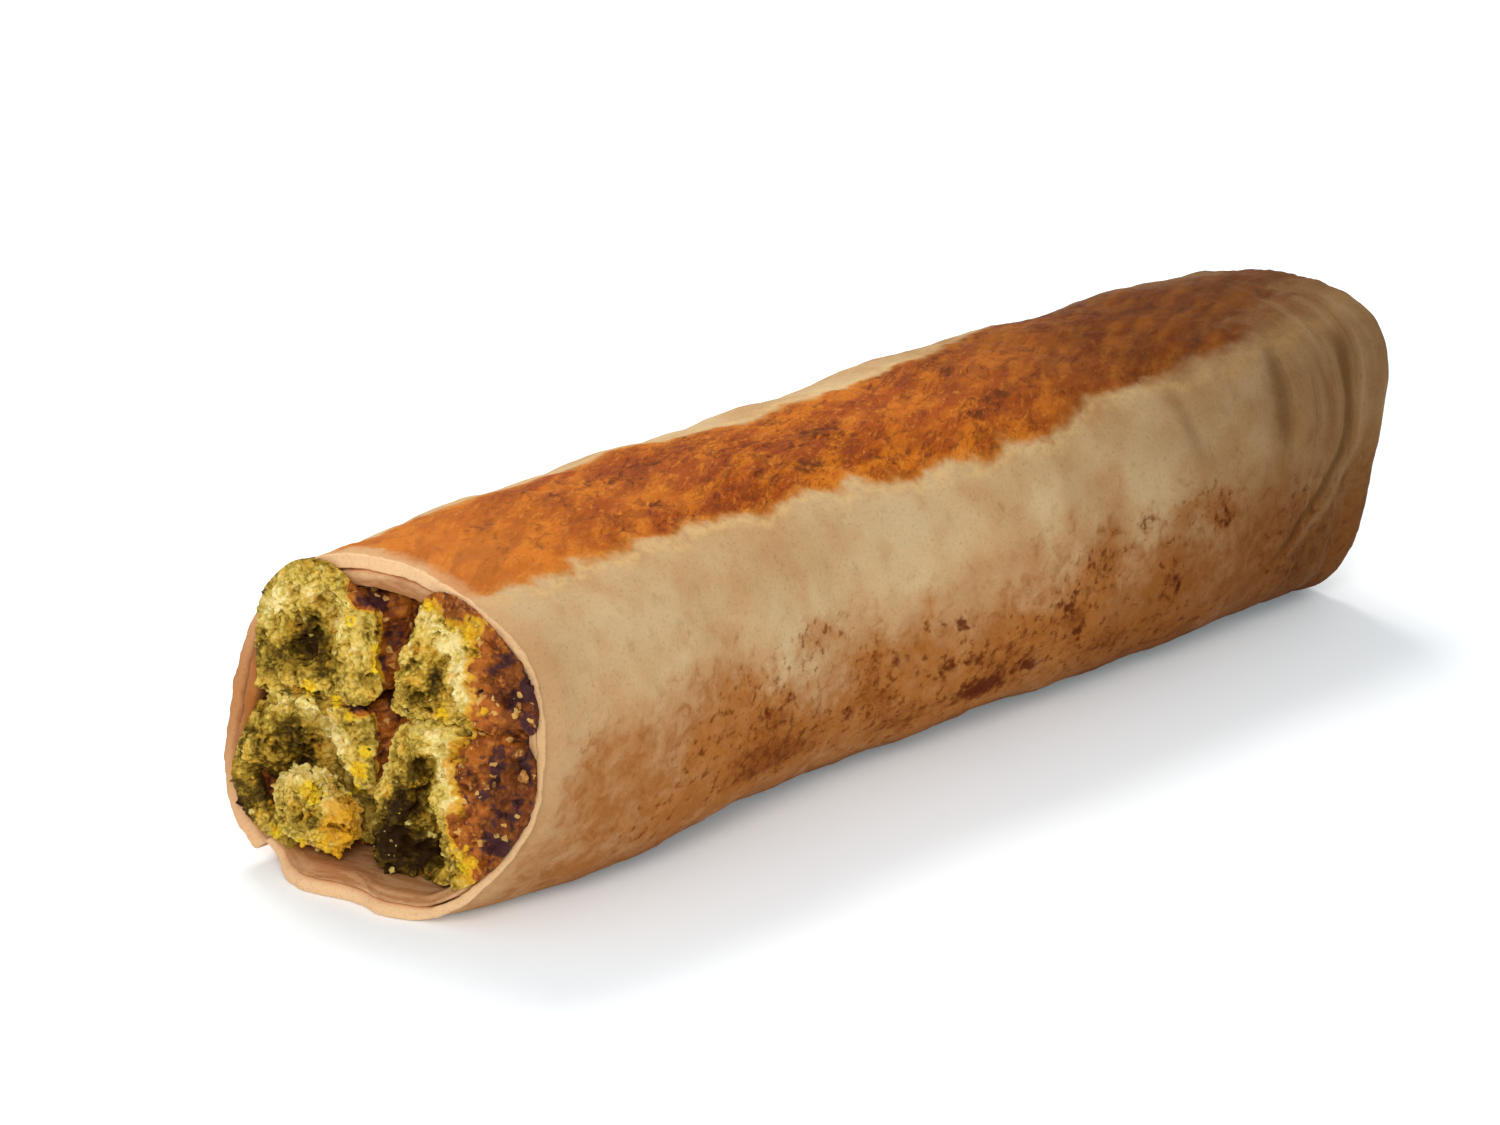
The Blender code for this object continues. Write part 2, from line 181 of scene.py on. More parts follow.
class Finish:  # one material and its nodes
    def __init__(self, name, **fixed):
        self.material = bpy.data.materials.new(name)
        self.material.use_nodes = True
        self.tree = self.material.node_tree
        self.shader = self.tree.nodes["Principled BSDF"]
        for socket, value in fixed.items():
            self.shader.inputs[socket.replace("_", " ")].default_value = value

    def add(self, kind, settings=None, values=None, output=0):
        node = self.tree.nodes.new(kind)
        for key, value in (settings or {}).items():
            setattr(node, key, value)
        for key, value in (values or {}).items():
            self.feed(node.inputs[key], value)
        return Wire(self, node.outputs[output])

    def feed(self, socket, value):
        if isinstance(value, Wire):
            self.tree.links.new(value.socket, socket)
        else:
            socket.default_value = value

    def mask(self, label, output="Fac"):
        return self.add("ShaderNodeAttribute", {"attribute_name": label}, {}, output)

    def clouds(self, place, size, detail=3.0, roughness=0.55, twist=0.0):
        values = {"Vector": place, "Scale": 1 / size, "Detail": detail, "Roughness": roughness, "Distortion": twist}
        return self.add("ShaderNodeTexNoise", {}, values, "Fac")

    def cells(self, place, size, channel):  # a chance number for each cell
        colours = self.add("ShaderNodeTexVoronoi", {}, {"Vector": place, "Scale": 1 / size}, "Color")
        return self.add("ShaderNodeSeparateColor", {}, {0: colours}, channel)

    def stretch(self, place, factors):
        return self.add("ShaderNodeVectorMath", {"operation": "MULTIPLY"}, {0: place, 1: factors})

    def along(self, place, axis):
        return self.add("ShaderNodeSeparateXYZ", {}, {0: place}, axis)

    def millimetres(self):  # where it is on the object
        return self.stretch(self.add("ShaderNodeTexCoord", {}, {}, "Object"), (1 / mm, 1 / mm, 1 / mm))

    def ramp(self, value, low, high):  # 0 below low and 1 above high
        values = {"Value": value, "From Min": low, "From Max": high}
        return self.add("ShaderNodeMapRange", {"interpolation_type": "SMOOTHSTEP"}, values)

    def blend(self, share, first, second, mode="MIX"):  # colours
        return self.add("ShaderNodeMix", {"data_type": "RGBA", "blend_type": mode},
                        {0: share, 6: first, 7: second}, 2)

    def between(self, share, first, second):  # two colours as seen on screen
        return self.blend(share, tone(*first), tone(*second))

    def wear(self, colour, roughness, height, strength, distance):
        self.feed(self.shader.inputs["Base Color"], colour)
        self.feed(self.shader.inputs["Roughness"], roughness)
        if height is not None:
            values = {"Strength": strength, "Distance": distance, "Height": height}
            self.feed(self.shader.inputs["Normal"], self.add("ShaderNodeBump", {}, values))
        return self.material


class Layers:  # a colour laid down in coats, each over the last
    def __init__(self, finish, colour):
        self.finish, self.colour = finish, colour

    def lay(self, share, *shade, mode="MIX"):
        self.over(share, tone(*shade), mode)

    def over(self, share, colour, mode="MIX"):
        self.colour = self.finish.blend(share, self.colour, colour, mode)


roll = {
    "length": 200 * mm,
    "halfWidths": np.array([30.2, 30.6, 28.0, 30.2, 29.9, 28.0]) * mm,
    "heights": np.array([52.4, 53.8, 53.9, 53.6, 52.4, 52.4]) * mm,
    "powers": np.array([2.5, 2.4, 2.4, 2.5, 2.8, 4.0]),  # 2 is an ellipse, more is squarer
    "sink": 2.3 * mm,  # how far it would reach below the floor, had it not been pressed flat
    "lump": 0.45 * mm,
    "layer": 2.2 * mm,
    "layerGap": 0.5 * mm,
    "seam": math.radians(138),
    "seamWander": 0.05,
    "flapRound": 0.9 * mm,
    "flapTurn": 0.006,
    "edgeRamp": 0.2,
    "leanUp": 4.6 / 25,
    "leanBack": -5.2 / 25,
    "endLean": 6.4 / 25,
    "endLeanLow": 5.0 / 25,
    "lipWave": 0.7 * mm,
    "lipRound": 0.7 * mm,
    "lipThin": 2.4 * mm,
    "hollowEnd": 15 * mm,
    "centring": Vector((1.8759, -0.6697, 0)) * mm,  # from the roll's own middle to the frame's origin
}
stations = np.array([0, 0.2, 0.4, 0.6, 0.8, 1.0]) * roll["length"]
pitch = roll["layer"] + roll["layerGap"]
fullWall = roll["layer"] + pitch
hollowedCorners = (  # distance from the mouth, angle, depth, half-width, how far along it fades
    (0, math.radians(236), 2.4 * mm, 0.42, 11 * mm),
    (0, math.radians(74), 2.8 * mm, 0.5, 32 * mm),
    (roll["length"], math.radians(40), 3.6 * mm, 0.45, 36 * mm),
    (roll["length"], math.radians(218), 2.0 * mm, 0.35, 24 * mm),
    (22 * mm, math.radians(220), -1.3 * mm, 0.4, 22 * mm),  # a fuller corner
)
endCreases = ((8 * mm, 0.8 * mm, 2.4 * mm), (18 * mm, 0.4 * mm, 3.4 * mm), (31 * mm, 0.2 * mm, 3.6 * mm))
lipLobes = ((math.radians(161), 3.4 * mm, 0.24), (math.radians(194), 2.4 * mm, 0.2))


def along(values, s):  # a smooth cubic through the values at the stations
    slopes = np.gradient(values, stations)
    s = np.clip(s, stations[0], stations[-1])
    i = np.clip(np.searchsorted(stations, s) - 1, 0, len(stations) - 2)
    step = stations[i + 1] - stations[i]
    t = (s - stations[i]) / step
    start = (1 + 2 * t) * (1 - t) ** 2 * values[i] + t * (1 - t) ** 2 * step * slopes[i]
    return start + t**2 * (3 - 2 * t) * values[i + 1] + t**2 * (t - 1) * step * slopes[i + 1]


def seamAngle(s):
    return roll["seam"] + roll["seamWander"] * np.sin(s / (23 * mm))


def turnOf(s, angle):
    return np.mod(seamAngle(s) - angle, fullTurn) / fullTurn


def outlineRadius(s, angle):
    across, up = np.sin(angle), np.cos(angle)
    middle = along(roll["heights"], s) / 2
    tall = np.where(up < 0, middle + roll["sink"], middle)
    power = along(roll["powers"], s)
    wide = along(roll["halfWidths"], s)
    radius = (np.abs(across / wide) ** power + np.abs(up / tall) ** power) ** (-1 / power)
    for at, towards, depth, halfWidth, reach in hollowedCorners:
        radius = radius - depth * bump(turned(angle, towards), halfWidth) * bump(s - at, reach)
    return radius


def relief(s, angle):
    lumps = np.sin(s / (6.2 * mm) + 1.3 * np.sin(angle)) * np.cos(2 * angle + s / (21 * mm))
    ripples = 0.35 * np.sin(s / (3.1 * mm) + 2 * angle) * np.sin(3 * angle + s / (9 * mm))
    creases = 0
    for before, depth, halfWidth in endCreases:
        creases = creases + depth * bump(s - (roll["length"] - before) - 2 * mm * np.cos(angle), halfWidth)
    return roll["lump"] * (lumps + ripples) - creases * (0.25 + 0.75 * bump(turned(angle, front), 1.15))


def coil(s, turn, share):
    past = np.mod(turn + 0.5, 1.0) - 0.5
    ramp = np.clip(past / roll["edgeRamp"], -1, 1)
    pressed = past - 0.5 * ramp * (1.5 - 0.5 * ramp**2)
    edge = np.clip(1 - turn / roll["flapTurn"], 0, 1)
    flap = roll["flapRound"] * (1 - np.sqrt(1 - edge**2))
    fade = np.clip((roll["length"] - s) / (14 * mm), 0, 1)
    return fade * ((1 - share) * (pitch * (turn - 0.5) + flap) + share * pitch * pressed)


def wall(s, angle):
    return fullWall - roll["lipThin"] * np.clip(1 - s / (30 * mm), 0, 1) * bump(turned(angle, front), 0.95)


def section(s, angle, share, turn, shrink=1.0, swollen=0.0):  # (y, z) of a point in the wall
    depth = share * wall(s, angle)
    radius = outlineRadius(s, angle) - depth - coil(s, turn, share) + (1 - share) * relief(s, angle) + swollen
    middle = along(roll["heights"], s) / 2
    z = np.maximum(middle + radius * np.cos(angle), depth)
    return radius * np.sin(angle) * shrink, middle + (z - middle) * shrink


def lean(s, y, z):  # along the roll, from the oblique mouth and the leaning end
    up = z - along(roll["heights"], s) / 2
    near = np.clip(1 - s / (0.35 * roll["length"]), 0, 1)
    far = np.clip(1 - (roll["length"] - s) / (0.2 * roll["length"]), 0, 1)
    endLean = np.where(up > 0, roll["endLean"], roll["endLeanLow"])
    return near * (roll["leanUp"] * up + roll["leanBack"] * y) + far * endLean * up


def place(s, y, z, push=0.0):  # a point in the frame
    x = s - roll["length"] / 2 + lean(s, y, z) + push + 0 * y
    return np.stack([x, y + 0 * s, z + 0 * s], axis=-1) + np.array(roll["centring"])


def lipWave(angle):
    wave = roll["lipWave"] * (np.sin(3 * angle + 0.6) + 0.6 * np.sin(7 * angle + 2.0))
    for middle, height, halfWidth in lipLobes:
        wave = wave - height * bump(turned(angle, middle), halfWidth)
    return wave


bread = {
    "columns": 290,
    "firstRing": 1.6 * mm,
    "skinStep": 0.86 * mm,
    "bandAlong": (0, 5, 16, 38, 60, 85, 105, 126, 133, 150, 165, 176, 200),  # mm from the mouth
    "bandLower": (-25, -31, -32, -32, -35, -38, -43, -45, -38, -37, -41, -38, -31),  # degrees from the top
    "bandUpper": (31, 33, 34, 32, 22, 17, 15, 19, 26, 38, 44, 44, 44),
    "scallop": 3.6,  # degrees
    "scallopPitch": 13.0 * mm,
    "pebble": 0.07 * mm,
    "unevenness": 0.32 * mm,
    "pleats": 9,
    "pleatDepth": 1.7 * mm,
    "pleatTwist": 1.1,
    "dimple": 4.5 * mm,
    "endRound": 3.8 * mm,
    "bandRadius": math.radians(28),  # mm round the roll for a degree
    "markRadius": math.radians(28.5),
    "stray": 1.7 * mm,  # how far the toasting strays from even rounds, along and round
    "strayTurn": 0.055,
    "warp": 1.2 * mm,
    "pits": 0.18 * mm,
    "fine": 0.09 * mm,
    "rumple": 0.85 * mm,
    "lipRoll": 1.1 * mm,  # how far the edge rolls in
    "ragged": 0.3 * mm,
}
farCreases = (  # where it crosses the front, how it curves back above and below, depth, half-width, angles
    (189.5, 1, 8.5, 0.65, 2, -46, -112),
    (173, -3, -0.5, 0.45, 2.4, -42, -72),
    (184, 2.5, 5, 0.14, 1.4, -48, -84),
    (153.5, -0.6, 0.5, 0.12, 2.4, -42, -68),
    (195.6, 2, 7, 0.2, 1.2, -54, -116),
)
toastPatches = (  # distance from the mouth, angle, half-lengths along and round in mm, strength
    (129, -88, 5, 4.5, 0.85), (154, -81, 9, 2.4, 0.8), (139, -80, 2.6, 2.2, 0.8), (158, -88, 1.8, 2.6, 1),
    (122, -104, 6, 6, 0.9), (145, -103, 3.2, 7, 0.95), (105, -121, 8, 5, 1.1), (110, -107, 6, 5, 0.8),
    (89.5, -93, 1.6, 7, 0.75), (78, -97, 5, 4, 0.85), (80, -111, 6, 5, 0.9), (45, -85, 6, 4, 0.55),
    (55, -97, 5, 3.4, 0.6), (36, -99, 4.5, 4, 0.55), (52, -114, 9, 4.5, 0.9), (64, -117, 8, 4, 0.9),
    (11, -84, 2.4, 6, 0.4), (87, -126, 9, 5, 1), (132, -120, 10, 5, 0.9), (151, -127, 9, 4, 0.8),
    (178, -95, 7, 8, 0.5), (184, -120, 12, 10, 0.9), (97, -104, 7, 4, 0.5), (30, -118, 8, 4, 0.5),
    (50, -100, 12, 6, 0.5), (65, -80, 9.5, 5, 0.8), (54, -116, 10, 5, 0.4), (33, -62, 3.6, 3, 0.35),
)
scorchMarks = (
    (121, -99, 1.7, 1.4, 1), (124, -110, 1.9, 1.6, 1), (93, -92, 1.2, 1.1, 1), (97, -94, 1.5, 1.5, 1),
    (95, -108, 1.5, 2, 1), (101, -109, 1.7, 1.4, 1), (114, -119, 2.6, 1.8, 1.1), (104, -121, 6, 2.4, 1),
    (53, -77, 1, 1.2, 0.6), (52, -98, 1.2, 1, 0.9), (57, -96, 1.3, 0.9, 0.8), (158, -89, 1.1, 1.7, 0.8),
    (139, -81, 1.3, 1.2, 0.7), (146, -106, 1.2, 2.2, 0.7), (84, -100, 1.1, 1.5, 0.7), (36, -99, 1, 1.1, 0.6),
    (129, -91, 1.6, 1.2, 0.6), (74, -113, 1.5, 1.1, 0.7), (118, -96, 1.1, 1.2, 0.7), (66, -106, 1, 1.2, 0.6),
)
bandMarks = (  # the darkest places of the toasting over the top
    (88, -8, 5, 1.6, 1), (79, -24, 4, 1.8, 1), (58, 8, 6, 1.6, 0.7), (70, -2, 5, 1.4, 0.7),
    (20, 6, 4, 1.5, 0.6), (40, -2, 5, 1.5, 0.6), (122, -22, 7, 1.8, 0.8), (112, -12, 5, 1.6, 0.6),
    (150, -14, 9, 2, 0.6), (172, -26, 6, 2, 0.6), (134, -6, 6, 1.6, 0.5), (96, -30, 5, 1.5, 0.6),
)


def topToast(s, angle):  # mm inside the toasted band over the top, negative outside
    degrees = np.degrees(turned(angle, 0))
    wander = 6.0 * mm * np.sin(s / (16 * mm)) + 2.5 * mm * np.sin(s / (7.3 * mm) + 1)
    lobes = np.abs(np.sin(math.pi * (s + wander) / bread["scallopPitch"])) ** 0.7
    lower = np.interp(s / mm, bread["bandAlong"], bread["bandLower"]) - bread["scallop"] * (lobes - 0.6)
    upper = np.interp(s / mm, bread["bandAlong"], bread["bandUpper"]) + 2.5 * np.sin(s / (8.3 * mm) + 1)
    band = np.minimum(degrees - lower, upper - degrees) * bread["bandRadius"]
    return np.minimum(band, s / mm - 1.0 - 1.2 * np.sin(angle * 5))


def lowToast(s, angle):  # how warm the lower front and the underside are
    fromTop = np.abs(np.degrees(turned(angle, 0)))
    start = 62 + 40 * smooth(np.sin(angle), -0.3, 0.3)
    wave = 7 * np.sin(s / (17 * mm)) + 4 * np.sin(s / (6.3 * mm) + 1)
    return smooth(fromTop + wave, start, start + 50) * (0.5 + 0.5 * smooth(s, 0, 26 * mm))


def marks(places, s, angle):  # where each of the patches lies
    degrees = np.degrees(turned(angle, front)) - 90
    total = np.zeros_like(s)
    for at, towards, lengthwise, roundwise, strength in places:
        off = np.hypot((s / mm - at) / lengthwise, (degrees - towards) * bread["markRadius"] / roundwise)
        total = total + strength * bump(off, 1.0)
    return total


def creaseAt(s, angle):  # grooves by the folded end, and the low ridges beside them, with painted shade in the grooves and painted highlight on the ridges
    degrees = np.degrees(turned(angle, front)) - 90
    depth, dark = 0, 0
    for at, above, below, deep, halfWidth, high, low in farCreases:
        off = (degrees + 70) / 30
        middle = at - np.where(off > 0, above, below) * off**2
        fade = smooth(degrees, low - 12, low + 8) * (1 - smooth(degrees, high - 8, high + 12))
        line = bump(s / mm - middle, halfWidth) * fade
        ridge = bump(s / mm - middle - 1.9 * halfWidth, halfWidth * 1.1) * fade
        depth = depth + deep * mm * (line - 0.3 * ridge)
        dark = dark + (deep / 0.75) ** 0.5 * (line - 0.6 * ridge)
    return depth, dark


def pleatAt(angle, share):  # 1 along the pleats of the folded end, share of the way out from its middle
    return 1 - np.abs(np.sin(bread["pleats"] / 2 * angle + bread["pleatTwist"] * (1 - share)))


def breadRings():  # (distance from the mouth, share of the wall, shrink, sink) of each ring, mouth to pole
    turns = np.linspace(0, 1, bread["columns"], endpoint=False)
    flap = roll["flapTurn"] * np.array([0, 0.05, 0.18, 0.4, 0.7, 1.0])
    turns = np.concatenate([flap, turns[turns > 1.4 * roll["flapTurn"]], [1 - 0.25 * roll["flapTurn"]]])
    length, end, wide = roll["length"], bread["endRound"], roll["halfWidths"][-1]
    rings = [(length - roll["hollowEnd"], 1, shrink, 0) for shrink in (0.25, 0.5, 0.8)]
    inner = (170, 156, 142, 128, 114, 100, 86, 72, 58, 48, 40, 34, 28, *np.linspace(24, 1.2, 26))
    rings += [(s * mm, 1, 1, 0) for s in inner]
    lipRound, layer, gap = roll["lipRound"], roll["layer"] / fullWall, roll["layerGap"] / fullWall
    lip = lipRound / fullWall
    shown = bump(turned(roll["seam"] - turns * fullTurn, front), 0.95)
    # the two turns part at the lip, but not where it is seen
    groove, notch = 0.1 * mm + 8.9 * mm * (1 - shown), 0.6 * lipRound * (1 - 0.85 * shown)
    stops = ((lipRound, 1), (0.2 * lipRound, 1 - 0.35 * lip), (0, 1 - lip), (0, layer + gap + 0.5 * lip),
             (notch, layer + gap), (groove, layer + 0.8 * gap), (groove, layer + 0.2 * gap),
             (notch, layer), (0, layer - 0.5 * lip), (0, lip), (0.2 * lipRound, 0.35 * lip), (lipRound, 0))
    for (s, share), (nextS, nextShare) in zip(stops, stops[1:]):
        rings += [(s + t * (nextS - s), share + t * (nextShare - share), 1, 0) for t in (0, 0.5)]
    first = bread["firstRing"]
    skin = np.linspace(first, length - end, int((length - end - first) / bread["skinStep"]))
    rings += [(s, 0, 1, 0) for s in (lipRound, *skin)]
    for bend in np.radians(np.arange(10, 90, 10)):
        rings.append((length - end + end * math.sin(bend), 0, 1 - end * (1 - math.cos(bend)) / wide, 0))
    for share in np.linspace(1, 0.04, 30):  # the end's face, drawn in
        pleat = pleatAt(seamAngle(length) - turns * fullTurn, share)
        dish = bread["dimple"] * (1 - share) ** 1.5 + bread["pleatDepth"] * pleat * math.sin(math.pi * share**0.7)
        rings.append((length, 0, (1 - end / wide) * share, dish))
    parts = [np.stack([np.broadcast_to(ring[i], turns.shape) for ring in rings]) for i in range(4)]
    return turns[None, :] + 0 * parts[0], *parts


def makeBread():
    turn, s, share, shrink, sink = breadRings()
    angle = seamAngle(s) - turn * fullTurn
    y, z = section(s, angle, share, turn, shrink)
    wave = lipWave(angle) * np.clip(1 - s / (14 * mm), 0, 1)
    base = place(s, y, z, wave - sink)
    outer = (share == 0).astype(float)
    strayS = s + bread["stray"] * rough(base, 2.6 * mm, 8, 3)
    strayAngle = angle + bread["strayTurn"] * rough(base, 2.4 * mm, 9, 3)
    top, scorch = topToast(s, angle), marks(scorchMarks, strayS, strayAngle)
    warmth, low = lowToast(s, angle), marks(toastPatches, strayS, strayAngle)
    low, streaks = low + 0.3 * warmth, marks(bandMarks, strayS, strayAngle)
    depth, dark = creaseAt(s + bread["warp"] * rough(base, 14 * mm, 10, 2), angle)
    ofEnd = np.clip(shrink / (1 - bread["endRound"] / roll["halfWidths"][-1]), 0, 1)  # 1 at its rim
    onEnd = smooth(s, roll["length"] - 0.5 * mm, roll["length"])
    folded = onEnd * (1 - smooth(ofEnd + 0.08 * rough(base, 5 * mm, 12, 3), 0.62, 0.94))
    top, warmth, low = top - 16 * folded, warmth * (1 - 0.6 * folded), low * (1 - 0.5 * folded)
    # painted shade along the pleats of the folded end's face
    dark = dark * (1 - folded) + 1.1 * onEnd * pleatAt(angle, ofEnd) ** 3 * np.sin(math.pi * ofEnd**0.7)
    swell = bread["unevenness"] * rough(base, 9 * mm, 1, 3)
    fine = rough(base, 1.5 * mm, 2, 3)
    pebbles = grains(base * np.array([0.75, 1, 1]), 2.1 * mm, 3)
    toasted = smooth(top, -0.5, 2.5) + 0.5 * smooth(low, 0.3, 0.9)
    pits = smooth(rough(base * np.array([0.6, 1, 1]), 2.6 * mm, 4, 2), 0.3, 0.7)
    skin = swell + 0.05 * mm * fine + toasted * (bread["pebble"] * (pebbles - 0.35) + bread["fine"] * fine)
    skin = skin - toasted * bread["pits"] * pits - depth + 0.12 * mm * bump(top - 0.8, 1.2) - 0.07 * mm * scorch
    rumple = bump(turned(angle, math.radians(172)), 0.6) * (1 - smooth(s, 2 * mm, 12 * mm))
    skin = skin + bread["rumple"] * rumple * np.sin(angle * 19 + s / (3 * mm) + 2 * rough(base, 6 * mm, 11, 2))
    nearLip = bread["lipRoll"] * (1 - smooth(s, 0, 5 * mm)) * bump(turned(angle, front), 1.0)
    floorFade = smooth(z, 0.2 * mm, 3 * mm)
    added = outer * (skin * floorFade - nearLip)
    inner = (1 - outer) * smooth(24 * mm - s, 0, 12 * mm) * 0.22 * mm * rough(base, 3.5 * mm, 5, 3)
    inner = inner + (1 - outer) * 0.35 * mm * rumple * np.sin(angle * 24 + 1 + s / (2.2 * mm))
    y, z = section(s, angle, share, turn, shrink, added + inner)
    z = np.maximum(z, 0.02 * mm)
    ragged = bread["ragged"] * rough(base, 2.4 * mm, 6, 3) * smooth(4 * mm - s, 0, 3 * mm)
    points = place(s, y, z, wave - sink + ragged - onEnd * (0.35 * mm * rough(base, 3 * mm, 7, 3)))
    points[..., 2] = np.maximum(points[..., 2], 0.0)
    reach = s / mm + onEnd * (1 - shrink) * 28
    sheet = np.stack([reach, turn * 168, share * 5], axis=-1)
    lipTone = bump(turned(angle, math.radians(88)), 0.75)
    lipFront = bump(turned(angle, math.radians(-82)), 0.9)
    masks = {"sheet": sheet, "topToast": top, "lowToast": low, "warmth": warmth, "scorch": scorch,
             "streaks": streaks, "creaseShading": dark * outer, "outer": outer, "lipTone": lipTone, "lipFront": lipFront}
    middle = roll["heights"][-1] / 2
    shift = np.array(roll["centring"])
    first = np.array([roll["length"] / 2 - roll["hollowEnd"], 0, middle]) + shift
    last = np.array([roll["length"] / 2 - bread["dimple"], 0, middle]) + shift
    return gridPiece("bread", points, masks, first, last)


def breadFinish():
    finish = Finish("toastedBread", Subsurface_Weight=0.05, Subsurface_Scale=0.003, Specular_IOR_Level=0.03)
    ramp, clouds, mask, between = finish.ramp, finish.clouds, finish.mask, finish.between
    sheet = mask("sheet", "Vector")
    reach, deepness = finish.along(sheet, 0), finish.along(sheet, 2)
    height = finish.along(finish.millimetres(), 2)
    top, low, creaseShading = mask("topToast"), mask("lowToast"), mask("creaseShading")
    outer, lipTone, lipFront = mask("outer"), mask("lipTone"), mask("lipFront")
    warmth, scorch, streaks = mask("warmth"), mask("scorch"), mask("streaks")
    turnedSheet = finish.add("ShaderNodeVectorRotate", {"rotation_type": "Z_AXIS"}, {0: sheet, 3: 0.5})
    slanted = finish.stretch(turnedSheet, (0.42, 1, 1))
    wide, middling = clouds(sheet, 19), clouds(sheet, 6.5)
    small, tiny = clouds(sheet, 1.7), clouds(sheet, 0.55)
    # the plain side
    skin = Layers(finish, between(ramp(wide, 0.35, 0.65), (206, 176, 132), (197, 159, 112)))
    skin.lay(ramp(middling, 0.45, 0.75) * 0.5, 196, 150, 104)
    skin.lay(ramp(clouds(sheet, 3.4), 0.56, 0.72) * 0.35, 170, 138, 94)
    skin.lay(ramp(small, 0.55, 0.75) * 0.25, 218, 190, 144)
    # warmer and browner below
    warm = warmth + (wide - 0.5) * 1.3 + (middling - 0.5) * 0.9
    skin.lay(ramp(warm, -0.1, 1.1) * 0.9, 172, 114, 64)
    blotch = clouds(sheet, 3, 4, 0.6, 0.7)
    golden = ramp(warmth * 0.4 + blotch + (small - 0.5) * 0.3 + (wide - 0.5) * 0.4, 0.6, 1)
    skin.lay(golden * 0.7, 150, 86, 28)
    paler = ramp(clouds(sheet, 4, 3), 0.5, 0.68) * warmth
    skin.lay(paler * 0.3, 196, 142, 98)
    # patchy toasting along the lower front
    soft = low + (clouds(sheet, 4.5, 4, 0.65, 0.5) - 0.5) * 1.2 + (small - 0.5) * 0.6
    skin.lay(ramp(soft, 0.2, 1) * 0.7, 172, 106, 44)
    deep = low + (clouds(sheet, 2.4, 5, 0.7, 0.6) - 0.5) * 2.2 + (tiny - 0.5) * 0.4
    skin.lay(ramp(deep, 0.7, 1.6) * 0.75, 126, 62, 14)
    fleck = ramp(clouds(sheet, 1.7, 3, 0.6) + low * 0.07, 0.59, 0.72) * ramp(low, 0.05, 0.7)
    skin.lay(fleck * 0.7, 100, 46, 10)
    burnt = scorch + (clouds(sheet, 1.2, 3) - 0.5) * 1.9 + low * 0.15
    skin.lay(ramp(burnt, 0.25, 1) * 0.85, 84, 26, 4)
    # the toasted band over the top
    border = top + (clouds(sheet, 8) - 0.5) * 6.5 + (middling - 0.5) * 2.5 + (small - 0.5) * 1.6
    halo = ramp(border, -3.2, -0.9) * (1 - ramp(border, -0.6, 0.6)) * ramp(small, 0.36, 0.6)
    skin.lay(halo * 0.5, 226, 186, 122)
    ragged = ramp(reach, 125, 165)  # the edge blurs towards the folded end
    toasted = ramp(border * (1 - ragged * 0.62) - ragged * 0.3, -0.7, 1.3) * outer
    amber = Layers(finish, between(ramp(clouds(slanted, 5.5, 4), 0.4, 0.62), (158, 69, 8), (198, 107, 18)))
    flakes = ramp(clouds(slanted, 1.1, 4, 0.7, 0.4), 0.52, 0.68)
    amber.lay(flakes * 0.5, 224, 142, 52)
    mottle = ramp(clouds(slanted, 7, 4, 0.6, 0.8) + (small - 0.5) * 0.16, 0.5, 0.62)
    amber.lay(mottle * 0.6, 128, 50, 6)
    streak = ramp(clouds(slanted, 1.5, 4, 0.6, 1) + (middling - 0.5) * 0.5, 0.54, 0.66)
    amber.lay(streak * (0.46 + mottle * 0.5), 92, 34, 4)
    thick = ramp(reach, 4, 46) * ramp(reach, 150, 112)
    char = ramp(clouds(slanted, 1, 4, 0.65, 1.2) + (wide - 0.5) * 0.4, 0.5, 0.62)
    amber.lay(char * thick * 0.55, 104, 40, 10)
    # painted light: the band is lighter near the mouth
    amber.lay(ramp(reach, 46, 10) * 0.42, 218, 126, 36)
    amber.lay(ramp(streaks + (small - 0.5) * 1.8, 0.3, 1) * 0.8, 80, 30, 6)
    amber.lay(ramp(border, 2.6, 0.2) * 0.5, 214, 142, 58)
    # browner and darker towards the folded end: partly toasting, partly painted shade
    brownAndShadedEnd = ramp(reach + (wide - 0.5) * 30, 104, 166)
    brownFlakes = ramp(clouds(slanted, 3.2, 4), 0.36, 0.66)
    amber.over(brownAndShadedEnd * 0.5, between(brownFlakes, (112, 54, 8), (186, 118, 38)))
    amber.lay(brownAndShadedEnd * 0.5, 200, 198, 160, mode="MULTIPLY")
    fading = ramp(reach + (middling - 0.5) * 50 + (wide - 0.5) * 24, 166, 192)
    besideTop = ramp(top + (middling - 0.5) * 20, 13, 6) + ramp(reach, 190, 204) * 0.5
    toasted = toasted * (1 - fading * ramp(besideTop, 0, 1) * 0.6)
    skin.over(toasted * 0.97, amber.colour)
    # browner and greyer towards the folded end, with its creases: the grey darkening is painted shade, the browning
    # partly toasting and partly painted shade
    far = ramp(reach + (wide - 0.5) * 40, 96, 188)
    skin.lay(far, 184, 172, 160, mode="MULTIPLY")
    skin.lay(ramp(reach + (middling - 0.5) * 34, 158, 200) * 0.42, 106, 72, 38)
    # painted shade in the folds and painted highlight on their ridges
    folds = clouds(finish.stretch(sheet, (1, 0.12, 1)), 2.6, 3, 0.6, 0.6)
    nearEnd = ramp(reach, 164, 186) * (1 - toasted * 0.8)
    skin.lay(ramp(folds, 0.52, 0.7) * nearEnd * 0.3, 156, 130, 98)
    skin.lay(ramp(folds, 0.46, 0.32) * nearEnd * 0.3, 84, 56, 28)
